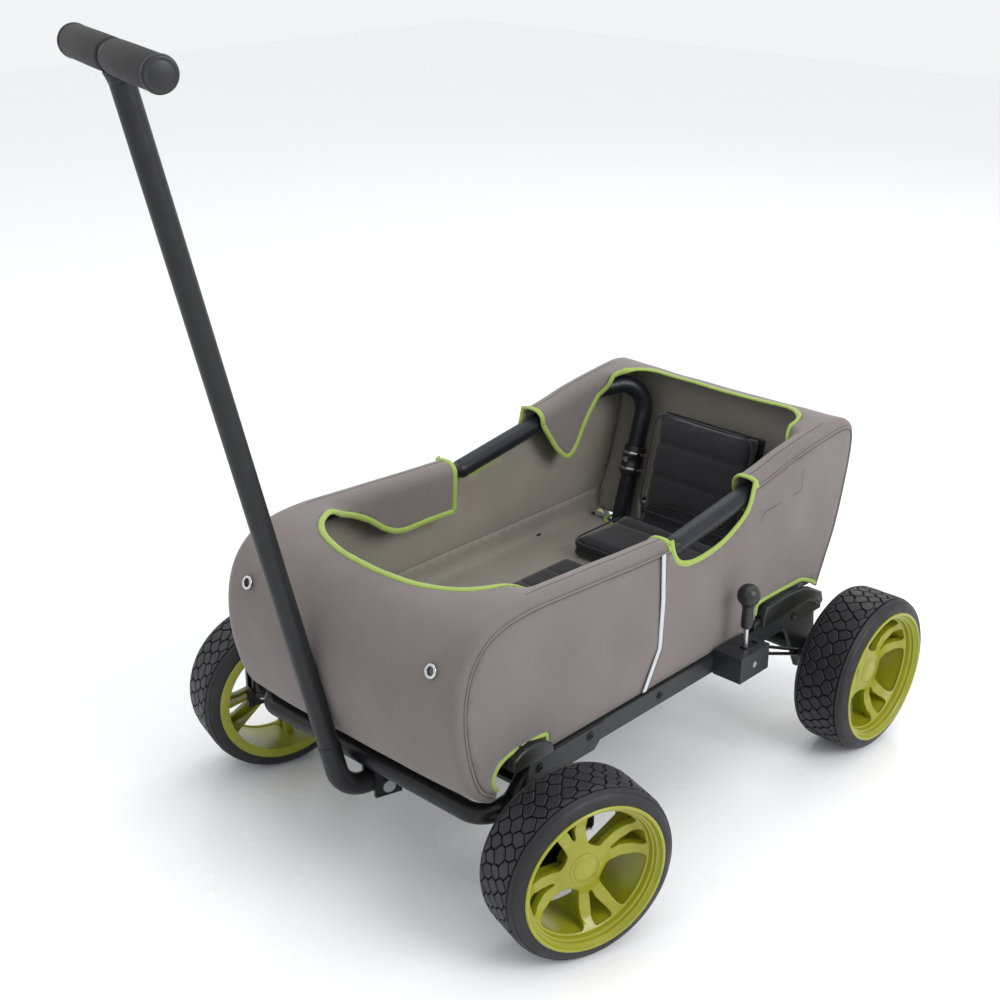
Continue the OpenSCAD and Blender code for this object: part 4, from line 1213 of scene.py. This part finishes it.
# locking collars on the rear legs: ribbed sleeve with two spring clips
LEG_TOP, LEG_FOOT = np.array((0.132, 0.328, 0.404)), np.array((0.132, 0.264, FLOOR_TOP - 0.012))
LEG_DIR = (LEG_FOOT - LEG_TOP) / np.linalg.norm(LEG_FOOT - LEG_TOP)
collars, clips, rings = [], [], []
for side in (1, -1):
    flip = np.array((side, 1, 1))
    at = (LEG_TOP + LEG_DIR * ((0.285 - LEG_TOP[2]) / LEG_DIR[2])) * flip
    place = Matrix.Translation(at) @ Vector(LEG_DIR * flip).to_track_quat("Z", "Y").to_matrix().to_4x4()
    body = lathe("collar", [(0.0127, -0.022), (0.0146, -0.022), (0.0160, -0.019), (0.0162, -0.007), (0.0150, -0.0055),
                            (0.0150, 0.0035), (0.0162, 0.005), (0.0160, 0.017), (0.0147, 0.0205), (0.0127, 0.0205)],
                 PLASTIC, sides=64)
    body.data.set_sharp_from_angle(angle=math.radians(40))
    body.matrix_world = place
    collars.append(body)
    for z in (-0.012, 0.011):
        band = lathe("clip", [(0.0161, z - 0.0022), (0.0167, z - 0.0018), (0.0168, z), (0.0167, z + 0.0018), (0.0161, z + 0.0022)],
                     ZINC, sides=64)
        band.matrix_world = place
        clips.append(band)
    # lime ring sewn round the slot in the floor's corner, where the leg goes down
    foot = (LEG_FOOT + np.array((0, 0, 0.0))) * flip
    around = [(side * 0.132 + 0.0205 * math.cos(a), 0.2655 + 0.0175 * math.sin(a), FLOOR_TOP + 0.0028)
              for a in np.linspace(0, 2 * math.pi, 40, endpoint=False)]
    rings.append(binding("ring", around, [(0, 0, 1)] * len(around), width=0.0060, closed=True))
collar = join("leg_collar_sleeves", collars)
clip = join("leg_collar_clips", clips)
slot_rings = join("floor_slot_rings", rings)
for obj, nodes, finish in ((collar, ["leg_collars"], "black_plastic"), (clip, [], "zinc_steel"),
                           (slot_rings, [], "piping_fabric")):
    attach(obj, "chassis")
    if nodes:
        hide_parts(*nodes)

# ---------- brake knob ----------
lever_low, lever_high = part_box("brake_knob")
LEVER_X, BRAKE_Y, BALL_Z = (lever_low.x + lever_high.x) / 2, (lever_low.y + lever_high.y) / 2, lever_high.z - 0.0145
angles = [math.radians(a) for a in range(-62, 91, 8)]
knob_profile = [(0.0034, BALL_Z - 0.0440)] + [(0.0062, BALL_Z - 0.0440), (0.0072, BALL_Z - 0.0425), (0.0074, BALL_Z - 0.036),
                                             (0.0068, BALL_Z - 0.018)]
knob_profile += [(0.0145 * math.cos(a), BALL_Z + 0.0145 * math.sin(a)) for a in angles[1:]] + [(0.0002, BALL_Z - 0.002), (0.0034, BALL_Z - 0.030)]
knob = lathe("brake_knob_look", knob_profile, BALL, sides=96)
knob.data.set_sharp_from_angle(angle=math.radians(50))
knob.matrix_world = Matrix.Translation((LEVER_X, BRAKE_Y, 0))
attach(knob, "brake_lever")
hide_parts("brake_knob")

# ---------- rail covers, bolts ----------
trim = []
for side in (1, -1):
    # black cover strip along the top of each rail
    trim.append(prism("cover", mm((-250, 187.4), (-250, 189.6), (144, 189.6), (144, 187.4)), side * 0.1745, side * 0.1978, BLACK,
                      0.0008, 2))
rail_trim = join("rail_covers", trim)
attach(rail_trim, "chassis")


def bolt_head(at, axis, radius=0.0045, height=0.0025):
    """Domed socket screw with a washer."""
    head = lathe("bolt", [(0.0012, 0.0010), (0.0016, height * 0.55), (0.0026, height), (radius * 0.8, height * 0.92),
                          (radius, height * 0.45), (radius, 0.0008), (radius * 1.5, 0.0007), (radius * 1.55, 0.0),
                          (0.0012, 0.0)], BLACK, sides=36)
    head.data.set_sharp_from_angle(angle=math.radians(40))
    head.matrix_world = Matrix.Translation(at) @ Vector(axis).to_track_quat("Z", "Y").to_matrix().to_4x4()
    return head


bolts = []
for side in (1, -1):
    for y, z in ((-0.276, 0.176), (-0.190, 0.178)):
        bolts.append(bolt_head((side * 0.1990, y, z), (side, 0, 0)))
    for y in (-0.06, 0.225):
        bolts.append(bolt_head((side * 0.1970, y, 0.176), (side, 0, 0), 0.0035))
bolt_heads = join("rail_bolts", bolts)
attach(bolt_heads, "chassis")

# ---------- materials of the CAD nodes that stay ----------
BY_NODE = {
    "rail_left": RAIL, "rail_right": RAIL, "gusset_plates": RAIL, "rear_brackets": RAIL, "brake_housing": RAIL,
    "front_rail": BLACK, "cross_members": BLACK, "rear_axle_beam": BLACK, "knuckle_left": BLACK, "knuckle_right": BLACK,
    "tie_rod": BLACK, "steering_yoke": BLACK, "handle_bend": TUBE, "handle_tube": TUBE, "crossbar": BLACK,
    "brake_lever": ZINC, "brake_bow": BLACK, "front_hoops": HOOP, "rear_hoops": HOOP, "rear_legs": HOOP,
    "rear_axle": ZINC, "kingpins": ZINC, "tie_rod_pins": ZINC, "yoke_nut": ZINC, "handle_pivot_pin": ZINC,
    "snap_button_left": ZINC, "snap_button_right": ZINC, "backrest_hinge_pin": ZINC, "brake_pin": ZINC,
    "backrest_board": PLASTIC, "floor_board": PLASTIC}
for name, material in BY_NODE.items():
    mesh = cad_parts[name].data
    mesh.materials.clear()
    mesh.materials.append(material)


# ---------- floor, light and camera ----------
def stage_and_light():
    floor = new_object("floor", [(-6, -6, 0), (6, -6, 0), (6, 6, 0), (-6, 6, 0)], [(0, 1, 2, 3)], None)
    m = Nodes("studio_floor")
    m.set(color=m.mix(m.noise(3, 2), (0.93, 0.93, 0.94), (0.95, 0.95, 0.96)),
          roughness=m.ramp(m.noise(8, 3), 0.3, 0.7, 0.22, 0.30), specular=0.35)
    floor.data.materials.append(m.material)
    world = bpy.data.worlds.new("studio")
    bpy.context.scene.world = world
    world.use_nodes = True
    bpy.context.scene.view_settings.view_transform = "Standard"
    world.node_tree.nodes["Background"].inputs[0].default_value = (0.97, 0.98, 1.0, 1)
    world.node_tree.nodes["Background"].inputs[1].default_value = 0.92
    for name, place, size, power in (("key", (2.6, 0.2, 1.9), 1.5, 46), ("left", (-2.4, -1.0, 1.9), 2.0, 6),
                                     ("back", (-0.6, 2.6, 2.4), 2.2, 18), ("top", (0.1, 0.1, 3.0), 2.2, 14)):
        light = bpy.data.lights.new(name, "AREA")
        light.size, light.energy = size, power
        lamp = bpy.data.objects.new(name, light)
        bpy.context.scene.collection.objects.link(lamp)
        lamp.location = place
        lamp.rotation_euler = (Vector((0, 0, 0.25)) - Vector(place)).to_track_quat("-Z", "Y").to_euler()


def camera():
    data = bpy.data.cameras.new("camera")
    data.sensor_width, data.lens = 36.0, 57.1
    data.clip_start, data.clip_end = 0.05, 50
    obj = bpy.data.objects.new("camera", data)
    bpy.context.scene.collection.objects.link(obj)
    forward = Vector((-0.627, 0.673, -0.393)).normalized()
    obj.matrix_world = (Matrix.Translation((1.180, -1.396, 1.132))
                        @ forward.to_track_quat("-Z", "Y").to_matrix().to_4x4()
                        @ Matrix.Rotation(math.radians(0.33), 4, "Z"))
    bpy.context.scene.camera = obj


stage_and_light()
camera()
